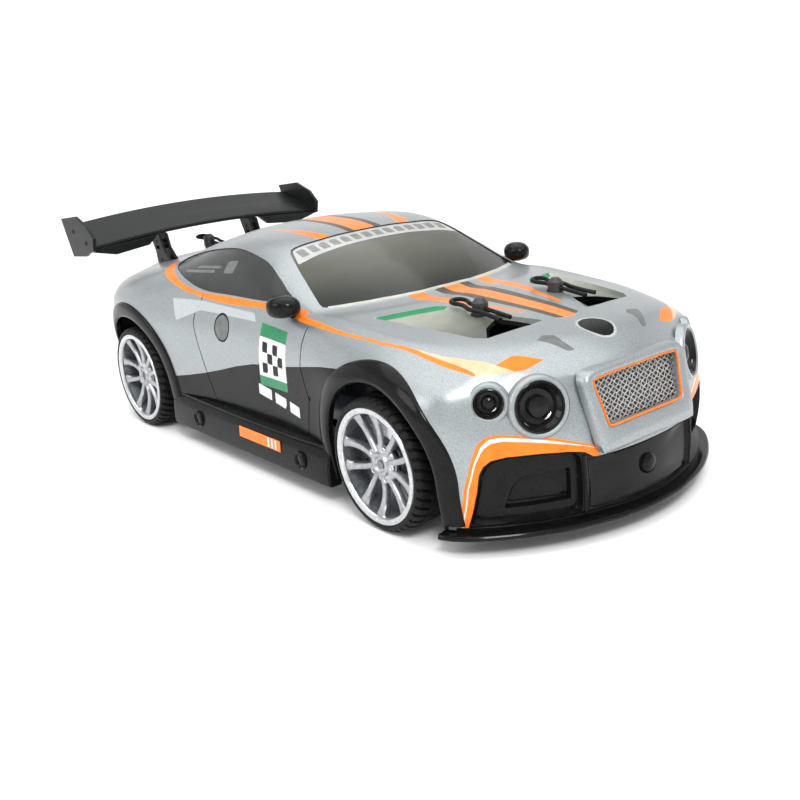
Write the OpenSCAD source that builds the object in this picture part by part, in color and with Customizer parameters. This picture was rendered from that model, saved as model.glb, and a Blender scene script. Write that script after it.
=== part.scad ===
// Small-scale drift car: moulded coupe body on a ladder chassis with working running gear.
// Units are millimetres. +X is the car's left, -Y is its front, +Z is up. z = 0 is the ground.
// The front suspension is a parallelogram, so each upper arm and hub carrier follows its lower arm.

/* [Stance] */
// distance between the front and the rear axle
wheelbase = 172; // [160:1:184]
// distance from the centre line to a wheel's centre plane
half_track = 55.3; // [54:0.1:57]
// outer radius of the tyres
tyre_r = 22.4; // [21:0.1:23]
// width of a tyre over its sidewalls
tyre_w = 17.5; // [16:0.5:18]
// radius of the rim's outer flange
rim_r = 19.6; // [18:0.1:20]
// number of twin spokes in a rim
spoke_pairs = 5; // [4:1:7]

/* [Chassis] */
// underside height of the chassis tub
tub_z = 7.5; // [6:0.1:9]
// thickness of the chassis floor
tub_t = 2.5; // [2:0.1:3]
// half width of the chassis floor beside the battery
tub_half_w = 36; // [34:0.5:38]
// length of the battery pack
battery_l = 83; // [70:1:83]
// width of the battery pack
battery_w = 30; // [24:1:30]
// height of the battery pack
battery_h = 18; // [14:0.5:20]

/* [Front suspension] */
// height of the lower arm pivots
arm_low_z = 14; // [13:0.1:15]
// height of the upper arm pivots
arm_up_z = 29; // [28:0.1:30]
// distance of the inner arm pivots from the centre line
arm_in_x = 14; // [13:0.1:15]
// distance of the outer arm pivots from the centre line
arm_out_x = 36; // [35:0.1:37]
// distance of the steering axis from the centre line
king_x = 45; // [44.5:0.1:45.5]
// radius of every suspension pin
pin_r = 1.0; // [0.9:0.05:1.1]
// radial clearance of a running pin
run_fit = 0.05; // [0.02:0.01:0.1]
// clearance of the open damper eyes round their pins
eye_play = 0.35; // [0.3:0.05:0.5]

/* [Steering] */
// distance from the servo shaft to the pin of its horn
horn_l = 13; // [11:0.5:14]
// distance from the centre line to each knuckle pin
link_x = 42; // [41.5:0.1:42.5]
// fore and aft position of the steering bar
bar_y = -73; // [-74:0.5:-72]

/* [Rear drive] */
// tooth module of the drive gears
gear_m = 0.6; // [0.5:0.1:0.8]
// teeth on the spur gear
spur_n = 42; // [36:2:48]
// teeth on the pinion
pinion_n = 18; // [14:2:20]
// face width of the spur gear
gear_w = 4; // [3:0.5:6]
// radius of the drive motor can
motor_r = 10; // [8:0.5:11]
// height of the motor shaft
motor_z = 24; // [23:0.5:26]

/* [Body] */
// thickness of the moulded shell, measured towards the car's spine
skin_t = 1.5; // [1:0.1:2]
// radius of the wheel openings
arch_r = 28; // [26:0.5:30]
// outer radius of the trim round the wheel openings
arch_trim_r = 34; // [30:0.5:35]
// radius of the body posts
post_r = 2.5; // [2:0.1:3]
// height of the top of the front posts
front_post_z = 68.6; // [67:0.1:70]
// height of the top of the rear post
rear_post_z = 74; // [72:0.1:76]
// distance of the front posts from the centre line
post_x = 18; // [16:0.5:20]
// fore and aft position of the rear post
rear_post_y = 123; // [118:1:126]
// span of the wing between its end plates
wing_half = 60.4; // [56:0.1:62]

/* [Hidden] */
$fn = 48;
front_y = -wheelbase / 2;
rear_y = wheelbase / 2;
axle_z = tyre_r;
tub_top = tub_z + tub_t;
bore_r = pin_r + run_fit;
post_y = front_y - 4.6;
damper_y = front_y - 17.5;
damper_top = [20, 42];
damper_low = [30, 16.5];
damper_l = norm(damper_top - damper_low);
damper_tilt = -asin((damper_low[0] - damper_top[0]) / damper_l);
rdamp_a = [48, 38];
rdamp_b = [80, 36];
rdamp_l = norm(rdamp_b - rdamp_a);
spur_pr = gear_m * spur_n / 2;
pinion_pr = gear_m * pinion_n / 2;
motor_y = rear_y + sqrt(pow(spur_pr + pinion_pr, 2) - pow(motor_z - axle_z, 2));
mesh_a = atan2(motor_z - axle_z, motor_y - rear_y);
pod_y = 58;
pod_z = 14;
clip_rise = 7;

// Control net of the body skin, one row per bent station from nose to tail. Each row holds the side's
// y, its half width, the centre line's y, the shoulder height, then four points over the shoulder,
// the crown height and how far the row leans back.
net = [
  [-144.5, 0, -144.5, 47, [0, 49.5], [0, 50.5], [0, 51], [0, 51.5], 52, 1],
  [-143, 17, -144, 46, [16.5, 49], [16, 50.3], [14, 51], [7, 52.2], 52.7, 1],
  [-137.5, 34, -142, 44, [33, 47.5], [31, 50], [25, 52.2], [12, 54.2], 54.8, 1],
  [-128, 50, -137.5, 43, [48, 47.5], [44, 50.5], [34, 54.8], [17, 56.8], 57.2, 0.9],
  [-117, 61, -130, 43, [57.5, 49.5], [50, 53.5], [39, 57.8], [19.5, 59.5], 59.6, 0.5],
  [-103, 64, -118, 45, [59.5, 52.5], [51, 56.8], [41.5, 59.8], [21, 61.3], 61.4, 0.2],
  [-86, 64.5, -103, 47, [60, 55], [51.5, 59.8], [43, 61.3], [22, 63], 63, 0],
  [-66, 62.5, -86, 48, [58.5, 57], [51.5, 62], [44.5, 62.5], [23, 64.3], 64.3, 0],
  [-48, 60, -71.5, 49, [57, 59], [51, 63.6], [45.5, 63.8], [24, 65], 65.2, 0],
  [-33, 58.9, -57.5, 50, [56, 60], [50.8, 63.7], [46.2, 64.8], [25, 65.6], 65.9, 0],
  [-21.5, 58.4, -30, 50, [55.6, 60.6], [50.8, 67.5], [42.8, 72.8], [23.5, 75], 75.6, 0],
  [-9.5, 58.4, -8.5, 50, [55.5, 60.8], [50.4, 71.5], [38.2, 80.9], [21, 83.1], 83.6, 0],
  [8, 58.6, 12, 50, [55.7, 60.8], [50.6, 72], [39.5, 83.2], [22, 85.8], 86.3, 0],
  [30, 59.5, 35, 50, [56.3, 60.8], [51, 71.3], [40, 81.4], [22, 84.8], 85.7, 0],
  [52, 61.6, 61, 51, [58.4, 61.4], [51.8, 69.6], [38.6, 76.6], [21.3, 79.4], 80.3, 0],
  [76, 64.4, 95, 53, [61.2, 62.4], [52.8, 66.8], [37.6, 69.2], [20, 70.8], 71.4, 0],
  [97, 63.5, 116, 52, [60.5, 60.5], [52, 64.3], [36, 65.8], [19, 66.6], 67, 0],
  [112, 59, 127, 49, [56.5, 56], [48, 60.8], [32, 64.3], [16, 65.8], 66.2, 0],
  [124, 47, 134, 48, [45.5, 54], [38, 58.5], [25, 62.5], [12, 64.2], 64.5, 0],
  [132, 28, 137.5, 48, [27, 53], [23, 57], [15, 60.8], [7, 62.2], 62.5, 0],
  [139, 0, 139, 48, [0, 52.5], [0, 56], [0, 59], [0, 60.5], 61, 0]
];
last = len(net) - 1;
hem_z = 8;
lean_z = 28;
lean_k = 0.285;
spine_y = 100;
spine_z = 30;

function bow_y(r, x) = r[1] > 0 ? r[2] + (r[0] - r[2]) * pow(x / r[1], 2) : r[0];
function leaned(p, k) = [p[0], p[1] + k * lean_k * max(0, p[2] - lean_z), p[2]];
function control_row(r) = [
  for (p = [
    [max(r[1] - 2.5, 0), r[0], hem_z],
    [max(r[1] - 0.8, 0), r[0], 20],
    [r[1], r[0], 34],
    [r[1], r[0], r[3]],
    [r[4][0], bow_y(r, r[4][0]), r[4][1]],
    [r[5][0], bow_y(r, r[5][0]), r[5][1]],
    [r[6][0], bow_y(r, r[6][0]), r[6][1]],
    [r[7][0], bow_y(r, r[7][0]), r[7][1]],
    [0, bow_y(r, 0), r[8]]
  ]) leaned(p, r[9])
];
rows = [for (r = net) control_row(r)];

function flipped(row) = [for (p = row) [-p[0], p[1], p[2]]];
function row_of(i) = i < 0 ? flipped(rows[-i]) : i > last ? flipped(rows[2 * last - i]) : rows[i];
function blend(a, b, c, d, t) =
  0.5 * (2 * b + (c - a) * t + (2 * a - 5 * b + 4 * c - d) * t * t + (3 * b - a - 3 * c + d) * t * t * t);
function station(u) =
  let (i = min(floor(u), last - 1), t = u - i, a = row_of(i - 1), b = rows[i], c = rows[i + 1],
       d = row_of(i + 2))
  [for (k = [0:8]) blend(a[k], b[k], c[k], d[k], t)];
function along(row, v) =
  let (k = min(floor(v), 7), t = v - k,
       a = k == 0 ? 2 * row[0] - row[1] : row[k - 1],
       d = k == 7 ? [-row[7][0], row[7][1], row[7][2]] : row[k + 2])
  blend(a, row[k], row[k + 1], d, t);
function to_spine(p) =
  let (q = [0, min(max(p[1], -spine_y), spine_y), spine_z] - p) q / norm(q);
// depth is positive towards the spine
function skin_rows(us, vs, depth) = [
  for (u = us) let (row = station(u)) [for (v = vs) let (p = along(row, v)) p + depth * to_spine(p)]
];
function turned(faces) = [for (f = faces) [f[2], f[1], f[0]]];
function flat(rows) = [for (row = rows) for (p = row) p];
function steps(a, b, n) = [for (i = [0:n]) a + (b - a) * i / n];

// The whole shell: both halves share the points of the centre line.
module shell_solid(n, m, t) {
  us = steps(0, last, n);
  vs = steps(0, 8, m);
  outer = skin_rows(us, vs, 0);
  inner = skin_rows(us, vs, t);
  half = (n + 1) * (m + 1);
  rest = (n - 1) * m;
  other = function (g) [for (i = [1:n - 1]) for (j = [0:m - 1]) [-g[i][j][0], g[i][j][1], g[i][j][2]]];
  left = function (i, j) i * (m + 1) + j;
  right = function (i, j) (i == 0 || i == n || j == m) ? left(i, j) : half + (i - 1) * m + j;
  b = half + rest;
  faces = [
    for (i = [0:n - 1]) for (j = [0:m - 1])
      each [
        [left(i, j), left(i + 1, j), left(i + 1, j + 1)],
        [left(i, j), left(i + 1, j + 1), left(i, j + 1)],
        [right(i, j), right(i + 1, j + 1), right(i + 1, j)],
        [right(i, j), right(i, j + 1), right(i + 1, j + 1)],
        [b + left(i, j), b + left(i + 1, j + 1), b + left(i + 1, j)],
        [b + left(i, j), b + left(i, j + 1), b + left(i + 1, j + 1)],
        [b + right(i, j), b + right(i + 1, j), b + right(i + 1, j + 1)],
        [b + right(i, j), b + right(i + 1, j + 1), b + right(i, j + 1)]
      ],
    for (i = [0:n - 1])
      each [
        [left(i, 0), b + left(i, 0), b + left(i + 1, 0)],
        [left(i, 0), b + left(i + 1, 0), left(i + 1, 0)],
        [right(i, 0), b + right(i + 1, 0), b + right(i, 0)],
        [right(i, 0), right(i + 1, 0), b + right(i + 1, 0)]
      ]
  ];
  polyhedron(concat(flat(outer), other(outer), flat(inner), other(inner)), turned(faces));
}

// A slab that follows the skin on the car's left, between two depths.
module skin_slab(u0, u1, v0, v1, n, m, d0, d1) {
  us = steps(u0, u1, n);
  vs = steps(v0, v1, m);
  all = concat(flat(skin_rows(us, vs, d0)), flat(skin_rows(us, vs, d1)));
  // the slab crosses the middle a little, so that its mirror image overlaps it
  pts = [for (p = all) p[0] < 0.01 ? [-0.02, p[1], p[2]] : p];
  b = (n + 1) * (m + 1);
  id = function (i, j) i * (m + 1) + j;
  faces = [
    for (i = [0:n - 1]) for (j = [0:m - 1])
      each [
        [id(i, j), id(i + 1, j), id(i + 1, j + 1)],
        [id(i, j), id(i + 1, j + 1), id(i, j + 1)],
        [b + id(i, j), b + id(i + 1, j + 1), b + id(i + 1, j)],
        [b + id(i, j), b + id(i, j + 1), b + id(i + 1, j + 1)]
      ],
    for (i = [0:n - 1])
      each [
        [id(i, 0), b + id(i, 0), b + id(i + 1, 0)],
        [id(i, 0), b + id(i + 1, 0), id(i + 1, 0)],
        [id(i, m), b + id(i + 1, m), b + id(i, m)],
        [id(i, m), id(i + 1, m), b + id(i + 1, m)]
      ],
    for (j = [0:m - 1])
      each [
        [id(0, j), b + id(0, j + 1), b + id(0, j)],
        [id(0, j), id(0, j + 1), b + id(0, j + 1)],
        [id(n, j), b + id(n, j), b + id(n, j + 1)],
        [id(n, j), b + id(n, j + 1), id(n, j + 1)]
      ]
  ];
  polyhedron(pts, turned(faces));
}

// A tube along a path whose steps are never vertical.
function sections(path, r, n) = [
  for (i = [0:len(path) - 1])
    let (t = path[min(i + 1, len(path) - 1)] - path[max(i - 1, 0)],
         s = cross(t, [0, 0, 1]) / norm(cross(t, [0, 0, 1])),
         w = cross(s, t) / norm(cross(s, t)))
    for (k = [0:n - 1]) path[i] + r * cos(360 * k / n) * s + r * sin(360 * k / n) * w
];
module sweep(path, r, n) {
  m = len(path);
  polyhedron(sections(path, r, n), [
    for (i = [0:m - 2]) for (k = [0:n - 1])
      each [
        [(i + 1) * n + (k + 1) % n, (i + 1) * n + k, i * n + k],
        [i * n + (k + 1) % n, (i + 1) * n + (k + 1) % n, i * n + k]
      ],
    [for (k = [0:n - 1]) n - 1 - k],
    [for (k = [0:n - 1]) (m - 1) * n + k]
  ]);
}

module box(x0, x1, y0, y1, z0, z1) {
  translate([x0, y0, z0]) cube([x1 - x0, y1 - y0, z1 - z0]);
}
module rod_x(x0, x1, y, z, r) {
  translate([x0, y, z]) rotate([0, 90, 0]) cylinder(r = r, h = x1 - x0);
}
module rod_y(x, y0, y1, z, r) {
  translate([x, y0, z]) rotate([-90, 0, 0]) cylinder(r = r, h = y1 - y0);
}
module rod_z(x, y, z0, z1, r) {
  translate([x, y, z0]) cylinder(r = r, h = z1 - z0);
}
// a side view outline given as [y, z], from x0 to x1
module side_cut(x0, x1, pts) {
  multmatrix([[0, 0, 1, x0], [1, 0, 0, 0], [0, 1, 0, 0], [0, 0, 0, 1]])
    linear_extrude(x1 - x0) polygon(pts);
}
// a front view outline given as [x, z], from y0 to y1
module front_cut(y0, y1, pts) {
  translate([0, y1, 0]) rotate([90, 0, 0]) linear_extrude(y1 - y0) polygon(pts);
}
module top_cut(z0, z1, pts) {
  translate([0, 0, z0]) linear_extrude(z1 - z0) polygon(pts);
}
module both() {
  children();
  mirror([1, 0, 0]) children();
}
module on_side(s) {
  if (s < 0) mirror([1, 0, 0]) children();
  else children();
}
function mirrored(pts) = concat(pts, [for (i = [len(pts) - 1:-1:0]) [-pts[i][0], pts[i][1]]]);

// ---------- chassis ----------
tub_outline = mirrored([
  [11.5, -97], [14, -95], [14, -70], [22, -62], [tub_half_w, -52], [tub_half_w, 44], [26, 54.5]
]);
screw_spots = [[6, -93], [6, -82], [4.5, -50], [3.6, 47.6], [31, -47], [27, 48]];

module chassis_tub() color("dimgray") difference() {
  union() {
    top_cut(tub_z, tub_top, tub_outline);
    box(-tub_half_w, -34.2, -44, 44, tub_top, 15);
    box(-2.8, -1.4, -44, 44, tub_top, 15);
    box(-29, -8, -44, -42.2, tub_top, 16);
    box(-29, -8, 42.2, 44, tub_top, 16);
    box(34.4, tub_half_w, -44, 44, tub_top, 14);
    both() box(18.4, 21, 50, 60.6, tub_z, 17);
    rod_x(-21, 21, pod_y, pod_z, 1.2);
    box(-38.6, -36, -6.5, -4.4, tub_z, 31.5);
    box(-38.6, -36, 4.4, 6.5, tub_z, 31.5);
    rod_y(-37.4, -6, 6, 29.7, pin_r);
    box(-2.8, 0.6, -4, 4, tub_top, 28.3);
  }
  for (p = screw_spots) both() {
    rod_z(p[0], p[1], tub_z - 1, tub_top + 1, 1.25);
    rod_z(p[0], p[1], tub_z - 1, tub_z + 1.1, 2.4);
  }
  for (y = [-30:12:30]) box(6, 30, y, y + 5, tub_z - 1, tub_top + 1);
}

module chassis_screws() color("silver") for (p = screw_spots) both() {
  difference() {
    rod_z(p[0], p[1], tub_z + 0.15, tub_z + 1.05, 2.3);
    translate([p[0], p[1], tub_z]) cylinder(r = 1.1, h = 0.7, $fn = 6);
  }
  rod_z(p[0], p[1], tub_z + 1, tub_top + 2.4, 1.2);
}

module screw_holes(n0, n1) {
  for (i = [n0:n1]) both() rod_z(screw_spots[i][0], screw_spots[i][1], tub_top - 1, tub_top + 3, 1.25);
}

module front_bulkhead() color("gray") difference() {
  union() {
    box(-11, 11, -96.9, -78.3, tub_top, 32);
    box(-16.8, 16.8, -78.3, -76.8, tub_top + 0.5, 31.4);
  }
  screw_holes(0, 1);
  rod_x(-12, 12, -87.6, 21, 6);
  both() rod_y(arm_in_x, -80, -76, arm_low_z, pin_r + 0.01);
  both() rod_y(arm_in_x, -80, -76, arm_up_z, pin_r + 0.01);
}

module front_hinge_pins() color("silver") both() {
  rod_y(arm_in_x, -99.6, -76.6, arm_low_z, pin_r);
  rod_y(arm_in_x, -99.6, -76.6, arm_up_z, pin_r);
}

module front_shock_tower() color("darkgray") {
  difference() {
    front_cut(-99, -97, mirrored([
      [12, 10.6], [17, 11.5], [17, 31.5], [15, 35], [23, 39], [23.2, 43], [21, 44.8], [8, 40.5]
    ]));
    both() rod_y(arm_in_x, -100, -96, arm_low_z, pin_r + 0.01);
    both() rod_y(arm_in_x, -100, -96, arm_up_z, pin_r + 0.01);
    rod_y(0, -100, -96, 21, 6);
  }
  both() rod_y(damper_top[0], -106.4, -98.5, damper_top[1], pin_r);
}

module post_top(x, y, z, axis_a) difference() {
  union() {
    rod_z(x, y, 30, z - 2.6, post_r - 0.1);
    rod_z(x, y, z - 5.6, z - 1.4, post_r + 0.2);
    translate([x, y, z - 1.4]) cylinder(r1 = post_r + 0.2, r2 = post_r - 1.1, h = 1.4);
  }
  translate([x, y, z - 3]) rotate([clip_rise - 90, 0, axis_a]) translate([0, 0, -6]) cylinder(r = 0.85, h = 12);
}

module front_body_posts() color("black") {
  box(-21, 21, post_y - 3.4, post_y + 3.6, 32, 34.4);
  both() difference() {
    post_top(post_x, post_y, front_post_z, 0);
    rod_z(post_x, post_y, 20, 32.5, 4);
  }
}

module rear_body_post() color("black") {
  both() box(6, 9, 44, 49.5, tub_top, 50);
  top_cut(47, 50, mirrored([[9, 44], [9, 60], [4.5, 116], [3.4, 126]]));
  difference() {
    post_top(0, rear_post_y, rear_post_z, 0);
    rod_z(0, rear_post_y, 20, 49, 4);
  }
}

module rear_damper_tower() color("gray") {
  difference() {
    box(-5.6, 5.6, 44.2, 51, tub_top, 13);
    screw_holes(3, 3);
  }
  both() box(3.5, 5.6, 44.2, 51.4, 12.8, 41.4);
  rod_x(-5, 5, rdamp_a[0], rdamp_a[1], pin_r);
}

module steering_servo() color("black") {
  difference() {
    box(-7, 7, -66.5, -43.5, tub_top, 23.4);
    screw_holes(2, 2);
  }
  box(-7, 7, -67.6, -42.4, 17.5, 19);
  rod_z(0, -60, 23, 24.4, 4);
  rod_z(0, -60, 24, 27.2, 1.5);
}

module electronics_box() color("darkslategray") {
  difference() {
    box(5, 32, -34, 16, tub_top, 22);
    box(8.9, 13.1, -12.1, -4.9, 20.2, 23);
  }
  for (x = [16:2.4:30]) box(x, x + 1, -8, 14, 21.5, 26);
  box(8, 28, -32, -20, 21.5, 23.2);
}

module power_switch_knob() color("orange") {
  box(9.3, 12.7, -11.6, -8.6, 20.6, 23.4);
}

module battery_pack() color("navy") difference() {
  box(-3.2 - battery_w, -3.2, -battery_l / 2, battery_l / 2, tub_top + 0.2, tub_top + battery_h);
  for (y = [-42, 40.5]) box(-26, -12, y, y + 1.5, 16, 25);
}

lead_path = [
  [-8, 37, 27.4], [-8, 35.6, 29.4], [-5, 33.4, 30.2], [2, 29.6, 28.8], [8, 26, 25], [12, 22.6, 20.4], [13.4, 19.4, 17.8],
  [13.6, 15.6, 17.2]
];
module battery_lead() color("red") {
  sweep(lead_path, 1.1, 10);
  translate([3.2, 0, 0]) sweep(lead_path, 1.1, 10);
}

module battery_strap() color("dimgray") {
  difference() {
    union() {
      box(-37.4, 0.6, -4, 4, 28.7, 30.3);
      rod_y(-37.4, -4, 4, 29.7, 1.9);
    }
    rod_y(-37.4, -5, 5, 29.7, bore_r);
    for (x = [-30, -20, -10]) rod_z(x, 0, 28, 31, 2.2);
  }
}

// ---------- steering ----------
module servo_horn() color("white") difference() {
  union() {
    rod_z(0, -60, 24.9, 26.9, 3.6);
    top_cut(24.9, 26.9, [[-3, -60], [3, -60], [1.9, -60 - horn_l], [-1.9, -60 - horn_l]]);
    rod_z(0, -60 - horn_l, 24.9, 26.9, 2);
    rod_z(0, -60 - horn_l, 21.6, 25.5, pin_r);
  }
  rod_z(0, -60, 24, 28, 1.55);
}

module steering_bar() color("silver") difference() {
  union() {
    box(-40, 40, bar_y - 1.3, bar_y + 1.4, 22, 24.2);
    box(-4.4, 4.4, bar_y - 3.1, bar_y + 4, 22, 24.2);
    both() box(link_x - 2.9, link_x + 2.9, bar_y - 5.2, bar_y + 2.4, 22, 24.2);
  }
  box(-1.25, 1.25, bar_y - 1.3, bar_y + 2.5, 21, 25);
  both() box(link_x - 1.45, link_x + 1.45, bar_y - 3.7, bar_y + 1.4, 21, 25);
}

// ---------- front suspension, drawn for the left and mirrored for the right ----------
module lower_arm(s) color("black") on_side(s) difference() {
  union() {
    rod_y(arm_in_x, -96.6, -78.7, arm_low_z, 2.2);
    top_cut(12.9, 15.1, [
      [arm_in_x, -96.6], [20, -95.8], [27.6, -93.5], [27.6, -101.5], [32.4, -101.5], [32.4, -93],
      [33.2, -89.5], [arm_out_x, -89.5], [arm_out_x, -82.5], [33.2, -82.5], [22, -79.6], [arm_in_x, -78.7]
    ]);
    rod_y(arm_out_x, -89.5, -82.5, arm_low_z, 2.2);
    box(27.6, 32.4, -101.5, -99.6, 13, 17.6);
    rod_y(damper_low[0], -106.2, -101, damper_low[1], pin_r);
  }
  rod_y(arm_in_x, -98, -77, arm_low_z, bore_r);
  rod_y(arm_out_x, -91, -81, arm_low_z, bore_r);
  top_cut(12, 16, [[19, -92.5], [27, -90.5], [27, -85], [19, -82.8]]);
}

module upper_arm(s) color("black") on_side(s) difference() {
  union() {
    rod_y(arm_in_x, -96.6, -78.7, arm_up_z, 1.9);
    top_cut(28.1, 29.9, [
      [arm_in_x, -96.6], [18, -96], [33.4, -89.5], [arm_out_x, -89.5], [arm_out_x, -82.5],
      [33.4, -82.5], [18, -79.2], [arm_in_x, -78.7]
    ]);
    rod_y(arm_out_x, -89.5, -82.5, arm_up_z, 1.9);
  }
  rod_y(arm_in_x, -98, -77, arm_up_z, bore_r);
  rod_y(arm_out_x, -91, -81, arm_up_z, bore_r);
  top_cut(27, 31, [[18, -92.6], [30, -87.4], [30, -84.8], [18, -82.2]]);
}

module c_hub(s) color("dimgray") on_side(s) {
  difference() {
    union() {
      box(38.6, 40.2, -92, -80, 11.8, 30.9);
      for (y = [-92, -82]) {
        rod_y(arm_out_x, y, y + 2, arm_low_z, 2.2);
        box(arm_out_x, 38.8, y, y + 2, arm_low_z - 2.2, arm_low_z + 2.2);
        rod_y(arm_out_x, y, y + 2, arm_up_z, 1.9);
        box(arm_out_x, 38.8, y, y + 2, arm_up_z - 1.9, arm_up_z + 1.9);
      }
      box(40, king_x, -88.6, -83.4, 11.8, 14.6);
      rod_z(king_x, front_y, 11.8, 14.6, 2.6);
      box(40, king_x, -88.6, -83.4, 28.9, 30.9);
      rod_z(king_x, front_y, 28.9, 30.9, 2.6);
    }
    box(38, 41, -83.2, -79, 16.4, 26.8);
    rod_x(38, 41, -87.6, 21.4, 3);
  }
  rod_y(arm_out_x, -91, -81, arm_low_z, pin_r);
  rod_y(arm_out_x, -91, -81, arm_up_z, pin_r);
  rod_z(king_x, front_y, 12.5, 30.4, pin_r);
}

module knuckle(s) color("silver") on_side(s) {
  difference() {
    union() {
      rod_z(king_x, front_y, 15, 28.4, 2.6);
      box(king_x, 48.8, -88.6, -83.4, 17, 27.6);
      rod_x(48, 50.8, front_y, axle_z, 2.8);
      top_cut(16.8, 19.2, [
        [king_x - 1.8, -84.6], [king_x + 2.2, -84.2], [link_x + 1.9, bar_y - 0.4], [link_x - 1.9, bar_y - 0.4]
      ]);
      rod_z(link_x, bar_y, 16.8, 19.2, 2);
    }
    rod_z(king_x, front_y, 14, 29, bore_r);
  }
  rod_x(47.8, 61.2, front_y, axle_z, 1.5);
  rod_z(link_x, bar_y, 17, 27.6, pin_r);
}

module coil(z0, z1, r, wire_r, turns) {
  n = floor(turns * 12);
  sweep([for (i = [0:n]) [r * cos(30 * i), r * sin(30 * i), z0 + (z1 - z0) * i / n]], wire_r, 6);
}

module in_damper(s) on_side(s)
  translate([damper_low[0], damper_y, damper_low[1]]) rotate([0, damper_tilt, 0]) children();

module damper_cylinder(s) color("silver") in_damper(s) difference() {
  union() {
    translate([0, 0, 11.5]) cylinder(r = 2.85, h = damper_l - 13.6);
    translate([0, 0, 20]) cylinder(r = 4.2, h = 1);
    rod_y(0, -1.7, 1.6, damper_l, 2.3);
  }
  translate([0, 0, 10]) cylinder(r = 1, h = 14);
  rod_y(0, -3, 3, damper_l, bore_r);
}

module damper_rod(s) color("gainsboro") in_damper(s) difference() {
  union() {
    rod_y(0, -1.7, 1.6, 0, 2.4);
    translate([0, 0, 1.6]) cylinder(r = 1.5, h = 1.6);
    translate([0, 0, 3]) cylinder(r = 4.2, h = 1);
    translate([0, 0, 2]) cylinder(r = 0.92, h = 18);
  }
  rod_y(0, -3, 3, 0, pin_r + eye_play);
}

module damper_spring(s) color("red") in_damper(s) coil(4.5, 19.5, 3.65, 0.45, 5.5);

// ---------- wheels, drawn with the wheel's outer face towards +Z ----------
module at_wheel(s, y) on_side(s) translate([half_track, y, axle_z]) rotate([0, 90, 0]) children();

module rim(bore) {
  half = tyre_w / 2;
  difference() {
    union() {
      rotate_extrude() polygon([
        [rim_r - 2.4, -half + 0.35], [rim_r - 0.2, -half + 0.35], [rim_r - 0.2, -half + 1.1],
        [rim_r - 1.4, -half + 1.8], [rim_r - 1.4, half - 1.8], [rim_r, half - 1.1], [rim_r, half - 0.2],
        [rim_r - 0.9, half - 0.2], [rim_r - 2.0, half - 2], [rim_r - 2.4, half - 5]
      ]);
      translate([0, 0, 1.2]) cylinder(r = 4.7, h = 5.2);
      for (i = [0:spoke_pairs - 1]) rotate([0, 0, 360 * i / spoke_pairs + 90]) both()
        translate([0, 0, 4]) linear_extrude(2.4)
          polygon([[1, 2.4], [2.4, 2.4], [4.4, 11], [5.2, 17.1], [3.2, 17.6], [2.2, 11]]);
    }
    translate([0, 0, -1]) cylinder(r = bore, h = 20);
  }
}

module tyre() {
  half = tyre_w / 2;
  side = [
    [rim_r - 1.4, half - 1.85], [rim_r - 0.1, half - 1.2], [rim_r + 0.12, half - 0.5], [rim_r + 0.9, half],
    [tyre_r - 1, half - 0.2], [tyre_r - 0.2, half - 1.2], [tyre_r, half - 2.4], [tyre_r, 3.2],
    [tyre_r - 0.6, 3.0], [tyre_r - 0.6, 2.4], [tyre_r, 2.2]
  ];
  rotate_extrude() polygon(concat(side, [for (i = [len(side) - 1:-1:0]) [side[i][0], -side[i][1]]]));
}

module front_rim(s) color("silver") at_wheel(s, front_y) rim(1.56);
module rear_rim(s) color("silver") at_wheel(s, rear_y) rim(1.98);
module front_tyre(s) color("black") at_wheel(s, front_y) tyre();
module rear_tyre(s) color("black") at_wheel(s, rear_y) tyre();

// ---------- rear drive ----------
// involute gear: points of one tooth about the angle c
function inv(a) = tan(a) * 180 / PI - a;
function tooth(n, m, c) =
  let (pr = m * n / 2, br = pr * cos(20), tip = pr + m, root = pr - 1.2 * m,
       half = 90 / n - 0.04 / pr * 180 / PI + inv(20),
       rs = [for (k = [0:3]) br + (tip - br) * k / 3],
       f = [for (r = rs) [r, half - inv(acos(min(1, br / r)))]])
  concat(
    [[root * cos(c - half), root * sin(c - half)]],
    [for (p = f) [p[0] * cos(c - p[1]), p[0] * sin(c - p[1])]],
    [for (k = [3:-1:0]) [f[k][0] * cos(c + f[k][1]), f[k][0] * sin(c + f[k][1])]],
    [[root * cos(c + half), root * sin(c + half)]]
  );
function gear_outline(n, m, a0) = [for (i = [0:n - 1]) each tooth(n, m, a0 + 360 * i / n)];
// a gear on an axle along X: the outline is turned so that [1, 0] lies on +Y
module gear_x(x0, x1, y, z, n, a0, bore) difference() {
  translate([0, y, z]) side_cut(x0, x1, gear_outline(n, gear_m, a0));
  rod_x(x0 - 1, x1 + 1, y, z, bore);
}

module rear_pod() color("gray") difference() {
  union() {
    top_cut(9, 11.5, mirrored([[16, 59], [16.5, 63], [28, 67], [28, 100], [22, 114]]));
    rod_x(-18, 18, pod_y, pod_z, 2.6);
    box(-16, 16, 58.5, 62, 10, 15.5);
    both() box(22.5, 26.5, 79, 93, 11, 30);
    box(7, 9, 92.4, 115.4, 10, 35.4);
    both() box(3.2, 5.4, 77.4, 82.8, 11, 38.2);
    rod_x(-5, 5, rdamp_b[0], rdamp_b[1], pin_r);
  }
  rod_x(-19, 19, pod_y, pod_z, 1.25);
  rod_x(-30, 30, rear_y, axle_z, 2.05);
  box(11, 18.2, 70, 102, 8, 12);
  rod_x(6, 10, motor_y, motor_z, 3.1);
  both() rod_z(17, 106, 8, 12, 3);
}

module drive_motor() color("silver") difference() {
  union() {
    rod_x(-19, 6.8, motor_y, motor_z, motor_r);
    rod_x(-21, -19, motor_y, motor_z, 4);
    rod_x(6, 8.6, motor_y, motor_z, 3);
  }
  rod_x(-15, 9, motor_y, motor_z, 1.05);
  for (a = [45, 135, 225, 315])
    rod_x(-19.5, -17.5, motor_y + 7 * cos(a), motor_z + 7 * sin(a), 1.4);
}

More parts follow.
